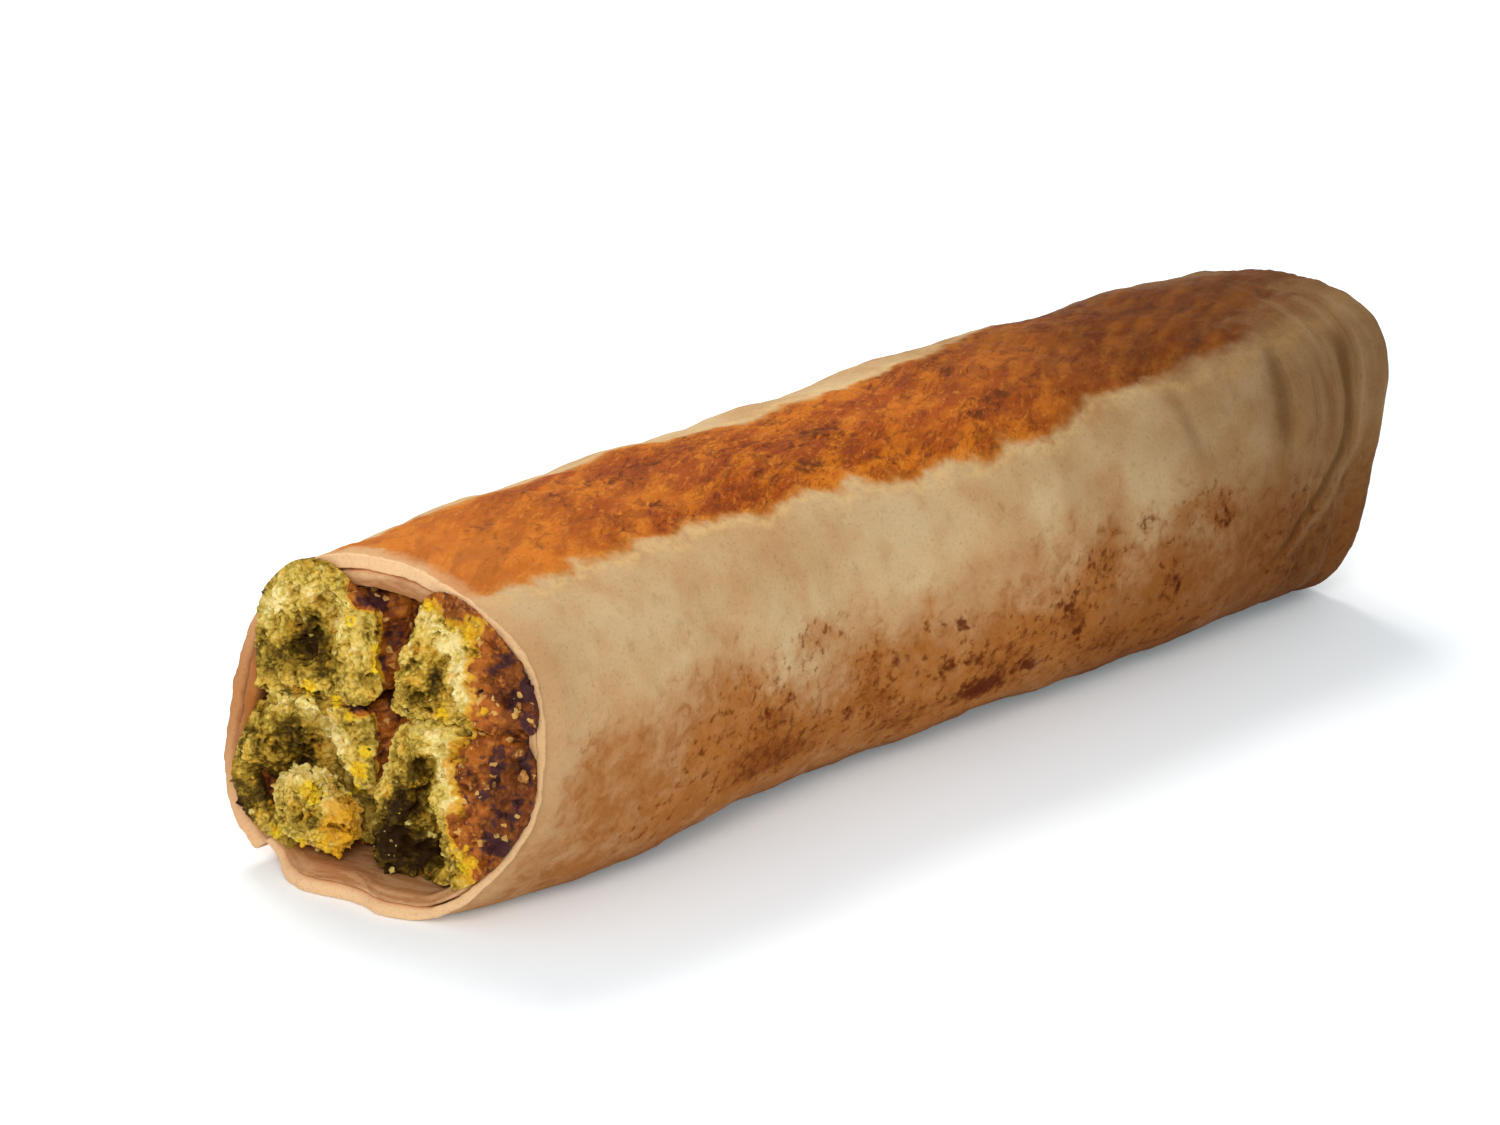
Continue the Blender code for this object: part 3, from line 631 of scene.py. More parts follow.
    # painted shade in the creases and painted highlight on the ridges beside them
    skin.lay(ramp(creaseShading, 0.05, 0.9) * 0.7, 86, 54, 20)
    skin.lay(ramp(creaseShading, -0.08, -0.6) * 0.25, 156, 128, 94)
    # darker where it meets the floor: partly toasting, partly painted shade
    under = ramp(height + (middling - 0.5) * 8, 7, 0.5) * ramp(reach, 6, 40)
    skin.lay(under * 0.7, 92, 40, 8)
    # painted shade on the front beside the mouth
    shadeBesideMouth = ramp(reach + (wide - 0.5) * 14, 16, 3) * lipFront * outer
    skin.lay(shadeBesideMouth * 0.35, 172, 122, 76)
    # the cut lip and the inside
    lip = ramp(reach + (small - 0.5) * 2, 6.5 - toasted * 2.5, 1) * outer
    edge = Layers(finish, between(small, (226, 178, 128), (204, 150, 104)))
    edge.lay(lipFront, 196, 156, 108)
    skin.over(lip * 0.65, edge.colour)
    grooves = clouds(finish.stretch(sheet, (1, 0.16, 1)), 1.3, 4, 0.6, 0.5)
    inside = Layers(finish, between(ramp(grooves, 0.4, 0.62), (170, 116, 72), (208, 160, 116)))
    inside.lay(ramp(middling, 0.5, 0.7) * 0.5, 190, 128, 90)
    # painted shade: darker towards the inner layer, under the lip
    inside.lay(ramp(deepness, 2.4, 3.4) * 0.4, 160, 104, 58)
    # paler at the outer layer's cut edge: partly its own cream, partly painted light
    inside.lay(ramp(deepness + (middling - 0.5) * 2, 3.6, 2.4) * 0.85, 252, 208, 158)
    inside.lay(lipFront * 0.7, 196, 156, 108)
    skin.over(1 - outer, inside.colour)
    skin.lay(lipTone * ramp(reach, 16, 6) * 0.8, 172, 104, 46)
    skin.lay(ramp(tiny, 0.5, 0.8) * 0.3, 150, 116, 84, mode="MULTIPLY")
    grain = clouds(sheet, 0.8, 4, 0.6) + small * 0.8 + streak * toasted * 0.4
    return finish.wear(skin.colour, 0.7 - toasted * 0.12 + (small - 0.5) * 0.12, grain, 0.4, 0.22 * mm)


breadPiece = makeBread()
breadPiece.name = "bread"
dress(breadPiece, breadFinish())
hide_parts("flatbread")
print("bread made,", len(breadPiece.data.polygons), "faces")

filling = {
    "columns": 250,
    "faceRings": 78,
    "clearance": 0.45 * mm,
    "splitY": 1.8 * mm,
    "splitZ": 30.5 * mm,
    "splitSlope": -0.1,
    "cornerPower": 7.0,
    "tailGap": 6 * mm,
    "tailTaper": 0.76,
    "grain": 1.05 * mm,
    "grainHeight": 0.5 * mm,
    "lumpHeight": 1.1 * mm,
    "bigGrain": 2.7,  # times the grain
    "bigHeight": 1.1 * mm,
    "fineHeight": 0.16 * mm,
    "holeDepth": 1.4 * mm,
    "pocket": -9 * mm,  # how deep a face may go where it isn't over the lip
    "rowMiddle": 12.5 * mm,
    "tuck": 0.5 * mm,  # how far the swollen edge turns back
    "depths": (0.4, 1, 1.8, 2.7, 3.7, 4.8, 6, 7.3, 8.7, 10.2, 11.8, 13.6, 16,  # mm in from the face
               22, 30, 44, 58, 79, 100, 121, 142, 156, 170),
}
heads = {  # the broken face of each row; all places are (y, z) in mm
    # falls: angle, depth and half-width of the rounded edge; bumps: place, height and half-widths; shades: the same,
    # of painted light and painted shade; swell: angle, share of the wall and half-width where it stands over the
    # lip; notch: two places on the line where the halves part, and how far in it goes; crust: place and half-widths
    "falafel_upper_back": {
        "side": 1, "level": 1, "face": -0.6, "seed": 11,
        "falls": [(-150, 1, 0.6), (90, 1.6, 0.7)],
        "bumps": [(6.8, 43, 3, 2.4, 4), (4, 36, 2.6, 2.6, 3.4), (21, 42, 1.8, 2.6, 7), (15, 32.5, 2.4, 6, 1.8),
            (13.4, 39.2, -6.5, 3.4, 4), (14, 44.6, -3, 2, 1.8), (17, 34.6, -2.2, 2.2, 1.8), (23, 34, 1.5, 2.5, 4)],
        "shades": [(21, 42.5, 1, 3.2, 4.4), (14.5, 46, 0.6, 3.5, 1.8), (8.6, 41.5, 0.7, 2.2, 3),
            (6, 45, 0.5, 2.2, 2.4), (4.2, 38.4, 0.7, 2.4, 3), (14, 38.4, -1.3, 3.8, 2.6),
            (10.4, 35.4, -0.8, 2.2, 1.8), (18.6, 34.8, -0.7, 2.4, 2), (22.5, 36.5, -0.5, 1.6, 2.6),
            (14, 42.4, -0.7, 1.6, 1.2)],
        "swell": [(46, 1.3, 0.36)],
        "notch": ((4.2, 47), (-0.2, 38), 11), "crust": [(3.2, 49, 4.6, 3.6)],
    },
    "falafel_upper_front": {
        "side": -1, "level": 1, "face": -0.4, "seed": 23,
        "falls": [(180, 4.6, 1), (105, 1.8, 0.5)],
        "bumps": [(-5.6, 39, 3.2, 2.2, 6), (-10.5, 47, 2.4, 4, 2.6), (-16, 41, 3.4, 3.4, 5),
            (-12.2, 36.6, -2.6, 1.5, 4), (-20, 35, 3.4, 4, 4), (-21, 43, 2.6, 4, 4), (-12.5, 32.5, 2, 6, 1.8)],
        "shades": [(-7.4, 46.6, 0.5, 2.2, 2.4), (-11.5, 44.6, 1.35, 2.8, 2.8), (-14.6, 39.6, 1.4, 2.3, 3.6),
            (-5.2, 42, 0.3, 1.6, 2.6), (-17.6, 37.4, 0.8, 2, 2), (-10.4, 38.6, -1, 1.5, 3),
            (-6.5, 35.6, -0.3, 3, 2)],
        "swell": [(-28, 0.95, 0.3), (-66, 1.26, 0.42), (-98, 1.1, 0.3)],
        "notch": ((-5, 49), (-1.6, 37), 11), "crust": [(-34, 42, 17, 17), (-14, 60, 13, 11.4)],
    },
    "falafel_lower_back": {
        "side": 1, "level": -1, "face": 2.4, "seed": 37,
        "falls": [(-150, 1, 0.6)],
        "bumps": [(6.5, 24.5, 4.2, 2.8, 4.4), (3.6, 18, 3.6, 2.4, 4.4), (22, 20, 5, 2.8, 8),
            (14, 28.5, 4.4, 7, 2.6), (14.5, 19.5, -4.6, 3.6, 4.8), (18, 12, -4.4, 4, 4.5), (8, 10.5, -6, 7.5, 6.5),
            (24, 9, -2.5, 4, 5)],
        "shades": [(19, 28.4, 0.6, 3.6, 1.8), (12.5, 28.2, 0.7, 3.4, 1.8), (8.6, 26.4, 0.7, 2.4, 2.6),
            (5.6, 23.6, 0.8, 2.2, 2.6), (3.2, 20.4, 0.5, 1.8, 2.6), (15.4, 23.4, -1, 2.8, 2.4),
            (12.6, 18.2, -1.2, 2.8, 3.4), (18.8, 14.5, -1.2, 3.2, 3.6), (23.4, 8.4, -1.7, 2.4, 3.2),
            (21.5, 20.5, -0.3, 2, 3)],
        "swell": [(122, 0.7, 0.34)],
        "notch": ((3.6, 30), (-0.2, 20), 11), "crust": [(2.8, 32.6, 3.4, 3.2)],
    },
    "falafel_lower_front": {
        "side": -1, "level": -1, "face": -0.2, "seed": 51,
        "falls": [(180, 4.2, 0.9), (-130, 1.5, 0.5)],
        "bumps": [(-4.4, 20, 3.4, 2.2, 7), (-9.5, 28, 2.4, 4, 2.4), (-15.3, 22, 3.6, 3, 6), (-9.4, 18, -4, 2, 4.4),
            (-8.5, 10, -8, 4.4, 4.6), (-18.5, 13.5, 3.6, 3.4, 3.6), (-21, 21, 2.8, 4, 6)],
        "shades": [(-7.6, 31.4, 0.6, 2.4, 2.2), (-12, 28.4, 1, 2.4, 2.8), (-14.6, 24, 1.1, 2, 3.2),
            (-16.2, 19.6, 0.8, 1.8, 3), (-3.4, 24, 0.5, 1.6, 5), (-9.4, 23.4, -1.1, 1.6, 2.8),
            (-7.2, 17.6, -1.7, 2.8, 3.2), (-5.4, 11.2, -2, 4.2, 3.4), (-12.4, 11.2, -1.9, 3, 2.8),
            (-7, 7, -1.1, 3.6, 2)],
        "swell": [(-92, 1.22, 0.36), (-122, 0.8, 0.3)],
        "notch": ((-4, 32), (-1.4, 18), 11), "crust": [(-36, 23, 19.2, 19), (-14.6, 44, 13.4, 10.2)],
    },
}
yellowPlaces = (  # (y, z, half-width) of the yellow patches in the crumb
    (9.8, 15.4, 2.6), (6.4, 7.6, 2.6), (4, 6.8, 2), (1.6, 20.6, 1.9), (2.6, 13.5, 1.6), (-19.6, 14, 2.4),
    (-20.6, 11.2, 2.1), (0.2, 37.4, 2.2), (3.8, 46.6, 1.5), (-7.6, 50, 1.8), (-15.6, 46.4, 1.6), (12.4, 31.4, 1.5),
    (7.4, 30.6, 1.2), (-12.4, 33.4, 1.6), (15.8, 7.6, 1.6), (10.6, 6.6, 1.4), (-19, 35.8, 1.2), (0.8, 40.2, 1.2),
    (6.2, 43.6, 1.2), (1, 24, 1.3), (4.6, 28.6, 1.2), (-12.2, 47.4, 1.5), (2, 17.6, 1.3), (2.2, 10.4, 1.8),
)
facing = {"ahead": -102.0, "up": 0.184, "back": -0.208, "middle": 26.1, "inward": (0.630, 0.675, -0.384)}


def onFace(points):  # (y, z) in mm on the slanting plane just ahead of the mouth, followed out along one slant
    raw = (points - np.array(roll["centring"])) / mm
    x, y, z = raw[..., 0], raw[..., 1], raw[..., 2]
    inward, across, down = facing["inward"]
    behind = x - facing["ahead"] - facing["up"] * (z - facing["middle"]) - facing["back"] * y
    steps = behind / (inward - facing["up"] * down - facing["back"] * across)
    return y - steps * across, z - steps * down


def yellowOf(base, y, z, seed):
    total = np.zeros_like(y)
    stray = 0.5 * rough(base, 1.6 * mm, seed, 3)
    for atY, atZ, halfWidth in yellowPlaces:
        total = np.maximum(total, bump(np.hypot(y - atY, z - atZ) / halfWidth + stray, 1.0))
    return total


def hollowMargin(s, y, z):
    middle = along(roll["heights"], s) / 2
    angle = np.arctan2(y, z - middle)
    innerY, innerZ = section(s, angle, 1.0, turnOf(s, angle))
    return np.minimum(np.hypot(innerY, innerZ - middle) - np.hypot(y, z - middle), z - wall(s, angle))


def reachToBread(s, centre, direction):
    low, high = np.zeros(direction.shape[0]), np.full(direction.shape[0], 80 * mm)
    for _ in range(22):
        half = (low + high) / 2
        inside = hollowMargin(s, centre[0] + half * direction[:, 0], centre[1] + half * direction[:, 1])
        inside = inside > filling["clearance"]
        low, high = np.where(inside, half, low), np.where(inside, high, half)
    return low


def reachToLine(centre, direction, point, normal, gap=1.0):
    ahead = direction @ np.array(normal)
    room = np.dot(np.array(point) - np.array(centre), normal) - gap * filling["clearance"]
    return np.where(ahead > 1e-6, room / np.maximum(ahead, 1e-6), 1.0)


def rowOutline(head, centre, direction, s, swollen=0.0):
    columns = direction.shape[0]
    side, level = head["side"], head["level"]
    slope = np.array([-filling["splitSlope"], 1.0]) / math.hypot(1, filling["splitSlope"])
    reach = reachToBread(np.full(columns, s), centre, direction)
    gap = 1.0
    if swollen > 0:  # in front of the lip, over its cut edge
        y, z = centre[0] + reach * direction[:, 0], centre[1] + reach * direction[:, 1]
        angle = np.arctan2(y, z - roll["heights"][0] / 2)
        for towards, share, halfWidth in head["swell"]:
            over = share * wall(0.0, angle) * bump(turned(angle, math.radians(towards)), halfWidth)
            reach = reach + swollen * over
        gap = 1.0 - 2.6 * swollen
    reaches = [reach, reachToLine(centre, direction, (filling["splitY"], 0), (-side, 0), gap),
               reachToLine(centre, direction, (0, filling["splitZ"]), -level * slope, gap)]
    (topY, topZ), (lowY, lowZ), fade = head["notch"]
    if s < fade * mm:  # the halves stand apart near the mouth
        run = np.array([topY - lowY, topZ - lowZ])
        normal = np.array([-run[1], run[0]]) / np.hypot(*run) * side
        ease = smooth(s, 3 * mm, fade * mm)
        room = reachToLine(centre, direction, (lowY * mm, lowZ * mm), normal, 0)
        reaches.append(np.maximum(room, 1 * mm) * (1 - ease) + ease * 80 * mm)
    total = sum(np.maximum(r, 0.5 * mm) ** -filling["cornerPower"] for r in reaches)
    reach = total ** (-1 / filling["cornerPower"])
    return centre[0] + reach * direction[:, 0], centre[1] + reach * direction[:, 1]


def makeRow(name):
    head = heads[name]
    side, level = head["side"], head["level"]
    centreY = filling["splitY"] + side * filling["rowMiddle"]
    split = filling["splitZ"] + filling["splitSlope"] * centreY
    high = roll["heights"][0] - fullWall
    centre = (centreY, (split + high) / 2 if level > 0 else (split + fullWall) / 2)
    spin = np.linspace(0, fullTurn, filling["columns"], endpoint=False)
    direction = np.stack([np.cos(spin), np.sin(spin)], axis=1)
    fullY, fullZ = rowOutline(head, centre, direction, 0.0, 1.0)
    lipY, lipZ = rowOutline(head, centre, direction, 0.0, 0.0)
    lipAngle = np.arctan2(lipY, lipZ - roll["heights"][0] / 2)
    fall = 0.8
    for towards, depth, halfWidth in head["falls"]:
        fall = fall + depth * bump(turned(spin, math.radians(towards)), halfWidth)

    def standing(y, z, share):
        rise = dabs(-head["face"] * mm, y / mm, z / mm, head["bumps"], mm)
        edge = np.clip((share - 0.55) / 0.45, 0, 1)
        return rise - fall * mm * (1 - np.sqrt(np.maximum(1 - edge**2, 0)))

    lipAhead = -lipWave(lipAngle) + 0.5 * mm
    lipRadius = np.hypot(fullY, fullZ - roll["heights"][0] / 2)
    overLip = lipRadius > outlineRadius(0.0, lipAngle) - wall(0.0, lipAngle)
    rings, inward = [], []  # the rings from the face to the tail, and how far in each is, in mm

    def addRing(points, depth):
        rings.append(points)
        inward.append(np.full(len(points), float(depth)))

    low = np.where(overLip, lipAhead, filling["pocket"])
    rimHeight = np.maximum(standing(fullY, fullZ, 1.0), low)
    for share in np.linspace(0.012, 1, filling["faceRings"]) ** 0.85:
        y, z = centre[0] + share * (fullY - centre[0]), centre[1] + share * (fullZ - centre[1])
        lift = standing(y, z, share)
        addRing(place(0 * y, y, z, -np.where(share > 0.8, np.maximum(lift, low), lift)), 0)
    for t in (0.35, 0.7, 1.0):  # tucked back under the swollen edge
        y, z = fullY + t * (lipY - fullY), fullZ + t * (lipZ - fullZ)
        addRing(place(0 * y, y, z, filling["tuck"] * t - rimHeight), 0.3 * t)
    for s in filling["depths"]:
        y, z = rowOutline(head, centre, direction, s * mm)
        addRing(place(0 * y + s * mm, y, z, (filling["tuck"] - rimHeight) * max(0.0, 1 - s / 6)), s)
    tail = roll["length"] - roll["hollowEnd"] - filling["tailGap"]
    y, z = rowOutline(head, centre, direction, tail)
    middle, taper = along(roll["heights"], tail) / 2, filling["tailTaper"]
    last = place(0 * y + tail, y * taper, middle + (z - middle) * taper)
    addRing(last, tail / mm)
    addRing(last.mean(axis=0) + (last - last.mean(axis=0)) * 0.4 / taper, tail / mm)
    return finishRow(name, head, np.stack(rings), np.stack(inward))


def crumble(base, normals, seed, crust, strength):  # granular relief, and how sunk each point is
    grain = filling["grain"]
    warped = base + 0.5 * mm * np.stack([rough(base, 2.0 * mm, seed + i, 2) for i in range(3)], axis=-1)
    big = grains(warped, grain * filling["bigGrain"], seed + 3)
    small = grains(warped, grain, seed + 4)
    fine = rough(base, 0.6 * mm, seed + 5, 2)
    lumps = rough(base, 5 * mm, seed + 6, 3)
    holes = smooth(rough(warped, 2.8 * mm, seed + 7, 3), 0.25, 0.62)
    rise = filling["lumpHeight"] * lumps * (1 - 0.4 * crust)
    rise = rise + filling["grainHeight"] * (np.minimum(small, 0.5) - 0.25) * (1.1 - 0.4 * crust)
    rise = rise + filling["bigHeight"] * (np.minimum(big, 0.5) - 0.25) + filling["fineHeight"] * fine
    rise = rise - filling["holeDepth"] * (1 - 0.5 * crust) * holes
    sunk = 0.6 * holes + 0.4 * smooth(0.14 - small, 0, 0.14) + 0.4 * smooth(0.12 - big, 0, 0.12)
    sunk = sunk + 0.45 * smooth(-lumps, 0.1, 0.6)
    return base + normals * (rise * strength)[..., None], np.clip(sunk, 0, 1.4), small


def finishRow(name, head, base, inward):
    y, z = onFace(base)
    wander = 0.28 * rough(base, 3 * mm, head["seed"] + 9, 3)
    crust = smooth(inward, 0.3, 2.6)
    rind = 0.35 * crust  # how far inside the crust
    for atY, atZ, wideY, wideZ in head["crust"]:
        off = np.hypot((y - atY) / wideY, (z - atZ) / wideZ) + 0.6 * wander
        crust = np.maximum(crust, 1 - smooth(off, 0.86, 1.14))
        rind = np.maximum(rind, 1 - smooth(off, 0.55, 0.98))
    normals = gridNormals(base)
    out = base - base[:30].mean(axis=(0, 1)) - np.array([8 * mm, 0, 0])
    if (normals[:40] * out[:40]).sum() < 0:
        normals = -normals
    points, sunk, grain = crumble(base, normals, head["seed"], crust, 1 - smooth(inward, 2.5, 9.0))
    y, z = onFace(points)
    lit = dabs(0, y, z, head["shades"])  # painted light along the ridges and painted shade in the hollows
    yellow = yellowOf(base, y, z, head["seed"] + 12) * (1 - smooth(inward, 1.0, 3.0))
    masks = {"crust": crust, "rind": rind, "sunk": sunk, "lit": lit, "grain": grain, "yellow": yellow}
    first, last = points[0].mean(axis=0), points[-1].mean(axis=0)
    return gridPiece(name.replace("falafel_", "falafel_row_"), points, masks, first, last)


def falafelFinish():
    finish = Finish("falafel", Subsurface_Weight=0.05, Subsurface_Scale=0.0015, Specular_IOR_Level=0.1)
    ramp, clouds, mask, between = finish.ramp, finish.clouds, finish.mask, finish.between
    spot = finish.millimetres()
    crust, rind, sunk = mask("crust"), mask("rind"), mask("sunk")
    lit, grain, yellow = mask("lit"), mask("grain"), mask("yellow")
    wide, middling = clouds(spot, 6), clouds(spot, 2.4)
    small, tiny = clouds(spot, 0.8), clouds(spot, 0.35)
    chance, other = finish.cells(spot, 1.5, 0), finish.cells(spot, 0.9, 1)
    # crumb, from painted shade in its hollows to painted highlight on its ridges and grain tops, over its own random
    # tone
    level = lit + (wide - 0.5) * 0.7 + (middling - 0.5) * 1.7 + (small - 0.5) * 1.6 + 0.18
    level = level + grain * 0.5 - sunk * 0.75
    crumb = Layers(finish, between(ramp(level, -1.4, -0.6), (48, 28, 3), (94, 72, 16)))
    crumb.lay(ramp(level, -0.65, 0), 164, 134, 46)
    crumb.lay(ramp(level, -0.05, 0.45), 220, 190, 90)
    crumb.lay(ramp(level, 0.45, 1.1), 250, 232, 162)
    green = ramp(wide + (chance - 0.5) * 0.3, 0.54, 0.66)
    crumb.lay(green * 0.3, 210, 214, 176, mode="MULTIPLY")
    gilt = ramp(yellow + (small - 0.5) * 0.7 - sunk * 0.2, 0.3, 0.75)
    sunny = between(ramp(small, 0.3, 0.6), (212, 158, 4), (250, 216, 40))
    crumb.over(gilt * 0.92, sunny)
    # golden where it meets the crust
    edge = crust + (middling - 0.5) * 0.6
    gold = ramp(edge, -0.05, 0.25) * (1 - ramp(edge, 0.45, 0.7)) * ramp(level, -0.8, -0.1)
    crumb.over(gold * 0.85, between(small, (200, 118, 12), (240, 188, 40)))
    # crust
    brown = Layers(finish, between(ramp(middling, 0.36, 0.6), (124, 60, 18), (176, 98, 32)))
    brown.lay(ramp(small, 0.5, 0.68) * 0.7, 206, 132, 60)
    inner = ramp(rind + (wide - 0.5) * 1.6, 0.25, 0.85)
    brown.lay(inner * 0.6, 80, 34, 16)
    pits = ramp(clouds(spot, 3, 3) + rind * 0.09, 0.55, 0.66)
    brown.lay(pits * 0.85, 54, 30, 40)
    brown.lay(ramp(other, 0.93, 0.96) * 0.85, 222, 172, 92)
    crumb.over(ramp(edge, 0.38, 0.62), brown.colour)
    # painted shade in the hollows of the crust
    crumb.lay(ramp(sunk, 0.3, 1.1) * crust * 0.7, 40, 17, 10)
    bumps = small + tiny * 0.5
    return finish.wear(crumb.colour, 0.66 - crust * 0.22 + (small - 0.5) * 0.2, bumps, 0.5, 0.3 * mm)


falafelMaterial = falafelFinish()
rows = {}
for nodeName in heads:
    rows[nodeName] = makeRow(nodeName)
    dress(rows[nodeName], falafelMaterial)
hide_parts("falafel_upper_back")
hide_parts("falafel_upper_front")
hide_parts("falafel_lower_back")
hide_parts("falafel_lower_front")
print("four rows made,", len(rows["falafel_upper_back"].data.polygons), "faces each")

looseBit = {
    "size": Vector((4.6, 9.2, 6.2)) * mm,
    "at": Vector((-104.6, 10.2, 12.0)) * mm,
    "detail": 6,
    "seed": 71,
    "crag": 0.16,
    "crust": 0.42,
    "strength": 0.9,
    # painted shade in its hollow: place, height and half-widths
    "hollow": [(10.5, 11.4, -0.8, 3.6, 2.2)],
}


def makeLooseBit():
    mesh = bmesh.new()
    bmesh.ops.create_icosphere(mesh, subdivisions=looseBit["detail"], radius=1.0)
    for vertex in mesh.verts:
        crag = 1 + looseBit["crag"] * noise.fractal(vertex.co * 2.3 + Vector((7, 3, 1)), 0.7, 2.1, 3)
        size = Vector(a * b for a, b in zip(vertex.co * crag, looseBit["size"]))
        vertex.co = size + looseBit["at"] + roll["centring"]
    mesh.normal_update()
    base = np.array([vertex.co for vertex in mesh.verts])
    normals = np.array([vertex.normal for vertex in mesh.verts])
    raw, seed = (base - np.array(roll["centring"])) / mm, looseBit["seed"]
    rightward = smooth(-raw[:, 1] + 1.5 * rough(base, 3 * mm, seed, 3), -6.5, -1)
    crust = looseBit["crust"] * rightward
    points, sunk, grain = crumble(base, normals, seed, crust, np.full(len(base), looseBit["strength"]))
    y, z = onFace(base)
    # painted light: lighter on its right side, top and bottom, with painted shade in its hollow
    lit = dabs(0.2 + 0.3 * rightward, y, z, looseBit["hollow"]) + 0.4 * smooth(z, 12, 16) + 0.2 * smooth(-z, -9, -6)
    yellow = yellowOf(base, y, z, seed + 12)
    for vertex, point in zip(mesh.verts, points):
        vertex.co = point
    data = bpy.data.meshes.new("falafel_bit")
    mesh.to_mesh(data)
    mesh.free()
    masks = {"crust": crust, "rind": 0 * crust, "sunk": sunk, "lit": lit, "grain": grain, "yellow": yellow}
    for label, values in masks.items():
        addMask(data, label, values)
    data.shade_smooth()
    return linked("falafel_bit", data)


bitPiece = makeLooseBit()
dress(bitPiece, falafelMaterial)
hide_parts("falafel_crumb")
print("loose bit made")

bits = {  # placed ones are (y, z, half-size) in mm; the finish goes from dark to pale
    "yellow": {"placed": [(9.4, 15.6, 1.5), (6, 7.4, 1.6), (-19.4, 13.4, 1.3), (12.6, 31.8, 0.9), (4.2, 46.8, 0.9)],
               "many": 60, "small": 0.2, "large": 0.6, "flat": 0.6, "seed": 5,
               "finish": ("yellowChickpea", (196, 136, 20), (224, 182, 36), (242, 216, 96))},
    "crumb": {"placed": [], "many": 240, "small": 0.2, "large": 0.75, "flat": 0.7, "seed": 6,
              "finish": ("paleCrumb", (164, 138, 56), (212, 186, 98), (244, 230, 170))},
    "herb": {"placed": [], "many": 70, "small": 0.22, "large": 0.5, "flat": 0.35, "seed": 7,
             "finish": ("herb", (44, 46, 8), (84, 86, 22), (126, 124, 48))},
    "toasted": {"placed": [(-24.6, 48, 1.1), (-28, 43, 0.9), (-26, 30.4, 1), (-27.6, 27, 0.9), (-24.4, 37, 0.8),
                           (-13.6, 52.8, 0.9), (-22, 24.6, 0.8)],
                "many": 80, "small": 0.2, "large": 0.45, "flat": 0.7, "seed": 8,
                "finish": ("toastedSpeck", (120, 62, 20), (190, 128, 56), (228, 184, 112))},
}


mouth = {"across": (-27, 25), "up": (5, 50), "sunk": 0.3}  # mm, and a share of each bit's half-size


def broken(size, flat, chance, detail):  # one little lump, in no particular direction
    mesh = bmesh.new()
    bmesh.ops.create_icosphere(mesh, subdivisions=detail, radius=1.0)
    corner = Vector(chance.uniform(-50, 50) for _ in range(3))
    stretchBy = Vector((chance.uniform(0.75, 1.25), chance.uniform(0.75, 1.2), flat))
    spin = Matrix.Rotation(chance.uniform(0, 6.28), 3, Vector(chance.gauss(0, 1) for _ in range(3)))
    for vertex in mesh.verts:
        facets = noise.voronoi(vertex.co * 0.9 + corner)[0]
        crag = 0.8 + 0.45 * (facets[1] - facets[0]) + 0.35 * noise.fractal(vertex.co * 1.2 + corner, 0.8, 2.1, 3)
        crag += 0.14 * noise.fractal(vertex.co * 4 + corner, 0.8, 2.1, 2)
        vertex.co = spin @ Vector(a * b for a, b in zip(vertex.co * crag * size, stretchBy))
    return mesh


def scatter(kind, finish):  # sunk a little into the face they lie on, all in one mesh
    setting = bits[kind]
    chance = random.Random(setting["seed"])
    places = [(y, z, size, 3) for y, z, size in setting["placed"]]
    while len(places) < setting["many"]:
        y, z = chance.uniform(*mouth["across"]), chance.uniform(*mouth["up"])
        places.append((y, z, setting["small"] + (setting["large"] - setting["small"]) * chance.random() ** 2.5, 2))
    joined = bmesh.new()
    for y, z, size, detail in places:
        hit, normal, crust = lookIn(y, z)
        if hit is None or detail == 2 and (crust > 0.5) != (kind == "toasted"):  # none there, or the wrong place
            continue
        lump = broken(size * mm, setting["flat"], chance, detail)
        at = hit - normal * size * mm * mouth["sunk"]
        for vertex in lump.verts:
            vertex.co += at
        data = bpy.data.meshes.new("lump")
        lump.to_mesh(data)
        lump.free()
        joined.from_mesh(data)
        bpy.data.meshes.remove(data)
    data = bpy.data.meshes.new("falafel_" + kind + "_bits")
    joined.to_mesh(data)
    joined.free()
    data.shade_smooth()
    dress(linked(data.name, data), finish)
    print(kind, "bits,", len(data.polygons), "faces")


def lookIn(y, z):  # the falafel's surface seen from in front of the mouth, and whether it is crust there
    start = Vector((-140, y, z)) * mm + roll["centring"]
    found = (None, None, 0.0)
    nearest = 1.0
    for tree, piece, crusts in targets:
        hit, normal, face, distance = tree.ray_cast(start, Vector((1, 0, 0)))
        if hit is not None and distance < nearest:
            corner = piece.data.polygons[face].vertices[0]
            nearest, found = distance, (hit, normal, crusts[corner])
    return found


def bitsFinish(name, dark, plain, pale):
    finish = Finish(name, Subsurface_Weight=0.08, Subsurface_Scale=0.001, Specular_IOR_Level=0.2)
    spot = finish.millimetres()
    middling, small = finish.clouds(spot, 1.6), finish.clouds(spot, 0.45)
    bit = Layers(finish, finish.between(finish.ramp(middling, 0.35, 0.6), dark, plain))
    bit.lay(finish.ramp(small, 0.5, 0.72) * 0.7, *pale)
    return finish.wear(bit.colour, 0.55 + (small - 0.5) * 0.25, small, 0.45, 0.2 * mm)


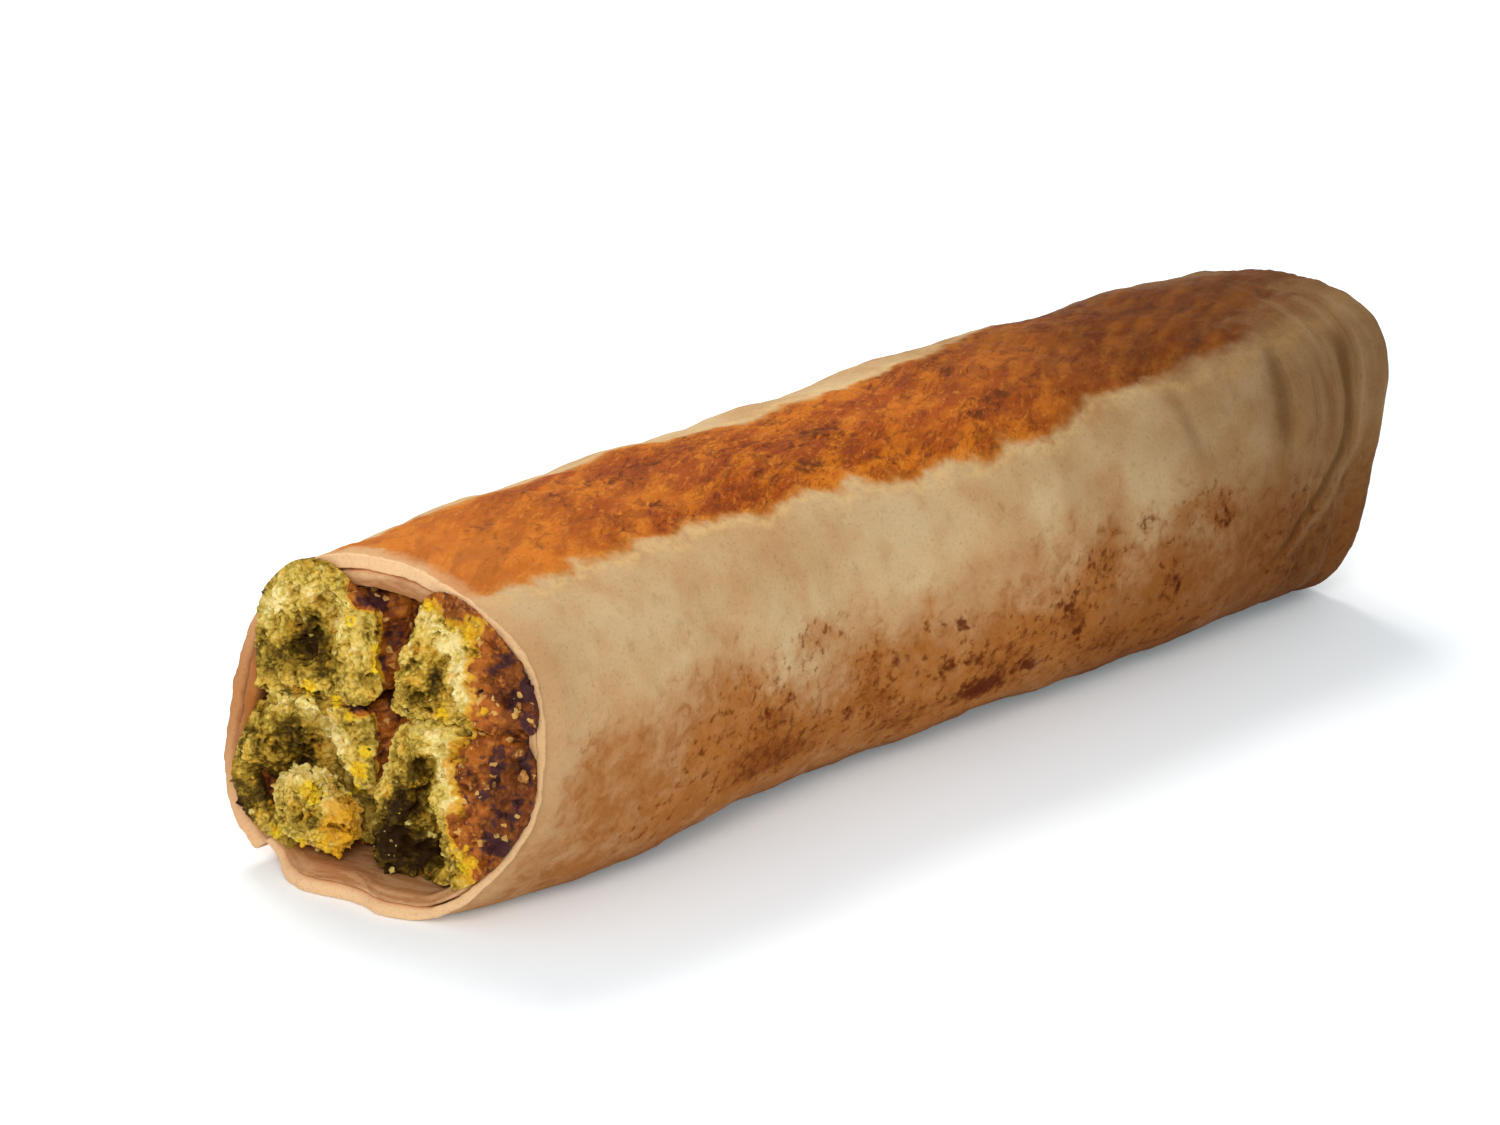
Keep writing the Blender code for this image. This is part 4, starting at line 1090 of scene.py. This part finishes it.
targets = []
for piece in list(rows.values()) + [bitPiece]:
    crusts = np.zeros(len(piece.data.vertices), np.float32)
    piece.data.attributes["crust"].data.foreach_get("value", crusts)
    targets.append((BVHTree.FromObject(piece, bpy.context.evaluated_depsgraph_get()), piece, crusts))
for kind in bits:
    scatter(kind, bitsFinish(*bits[kind]["finish"]))

stage = {
    "floor": 6.0,
    "cameraTurn": math.radians(-43.05),
    "cameraRise": math.radians(22.6),
    "cameraAway": 0.91353,
    "lens": 133.76,
    "aimRight": -16.71 * mm,
    "aimUp": 1.33 * mm,
    "aimHeight": 25 * mm,
    "world": (0.93, 0.965, 1.0, 1),
    "worldStrength": 0.58,
}
lights = {  # where it hangs, what it shines at, width, power, colour
    "key": ((-0.5, -0.42, 0.5), (-0.06, 0, 0.03), 0.34, 2.3, (1.0, 0.97, 0.93)),
    "back": ((0.26, 0.62, 0.88), (-0.03, 0, 0.02), 0.45, 6.9, (1.0, 0.98, 0.95)),
}


def makeFloor():
    data = bpy.data.meshes.new("floor")
    half = stage["floor"] / 2
    data.from_pydata([(-half, -half, 0), (half, -half, 0), (half, half, 0), (-half, half, 0)], [], [(0, 1, 2, 3)])
    floor = linked("floor", data)
    # the floor glows faintly and evenly: painted light that lifts and cools the shadows on it
    finish = Finish("glowingPaleFloor", Specular_IOR_Level=0.0, Emission_Color=(0.72, 0.95, 1, 1), Emission_Strength=0.15)
    data.materials.append(finish.wear(tone(253, 253, 255), 0.9, None, 0, 0))
    floor.location.z = cadLow[2] - 0.02 * mm


def makeLight(name, at, aim, size, power, warmth):
    data = bpy.data.lights.new(name, "AREA")
    data.size, data.energy, data.color = size, power, warmth
    lamp = linked(name, data)
    lamp.location = at
    lamp.rotation_euler = (Vector(aim) - Vector(at)).to_track_quat("-Z", "Y").to_euler()


def makeCamera():
    turn, rise = stage["cameraTurn"], stage["cameraRise"]
    right = Vector((math.cos(turn), math.sin(turn), 0))
    back = Vector((math.sin(turn) * math.cos(rise), -math.cos(turn) * math.cos(rise), math.sin(rise)))
    up = back.cross(right)
    aim = Vector((0, 0, stage["aimHeight"])) + right * stage["aimRight"] + up * stage["aimUp"] + roll["centring"]
    data = bpy.data.cameras.new("camera")
    data.lens, data.sensor_width, data.clip_start = stage["lens"], 36, 0.01
    camera = linked("camera", data)
    rotation = Matrix((right, up, back)).transposed().to_4x4()
    camera.matrix_world = Matrix.Translation(aim + back * stage["cameraAway"]) @ rotation
    bpy.context.scene.camera = camera


makeFloor()
for name, setting in lights.items():
    makeLight(name, *setting)
makeCamera()
world = bpy.data.worlds.new("studio")
bpy.context.scene.world = world
world.use_nodes = True
background = world.node_tree.nodes["Background"].inputs
background["Color"].default_value = stage["world"]
background["Strength"].default_value = stage["worldStrength"]
bpy.context.scene.view_settings.view_transform = "Standard"
print("stage made")
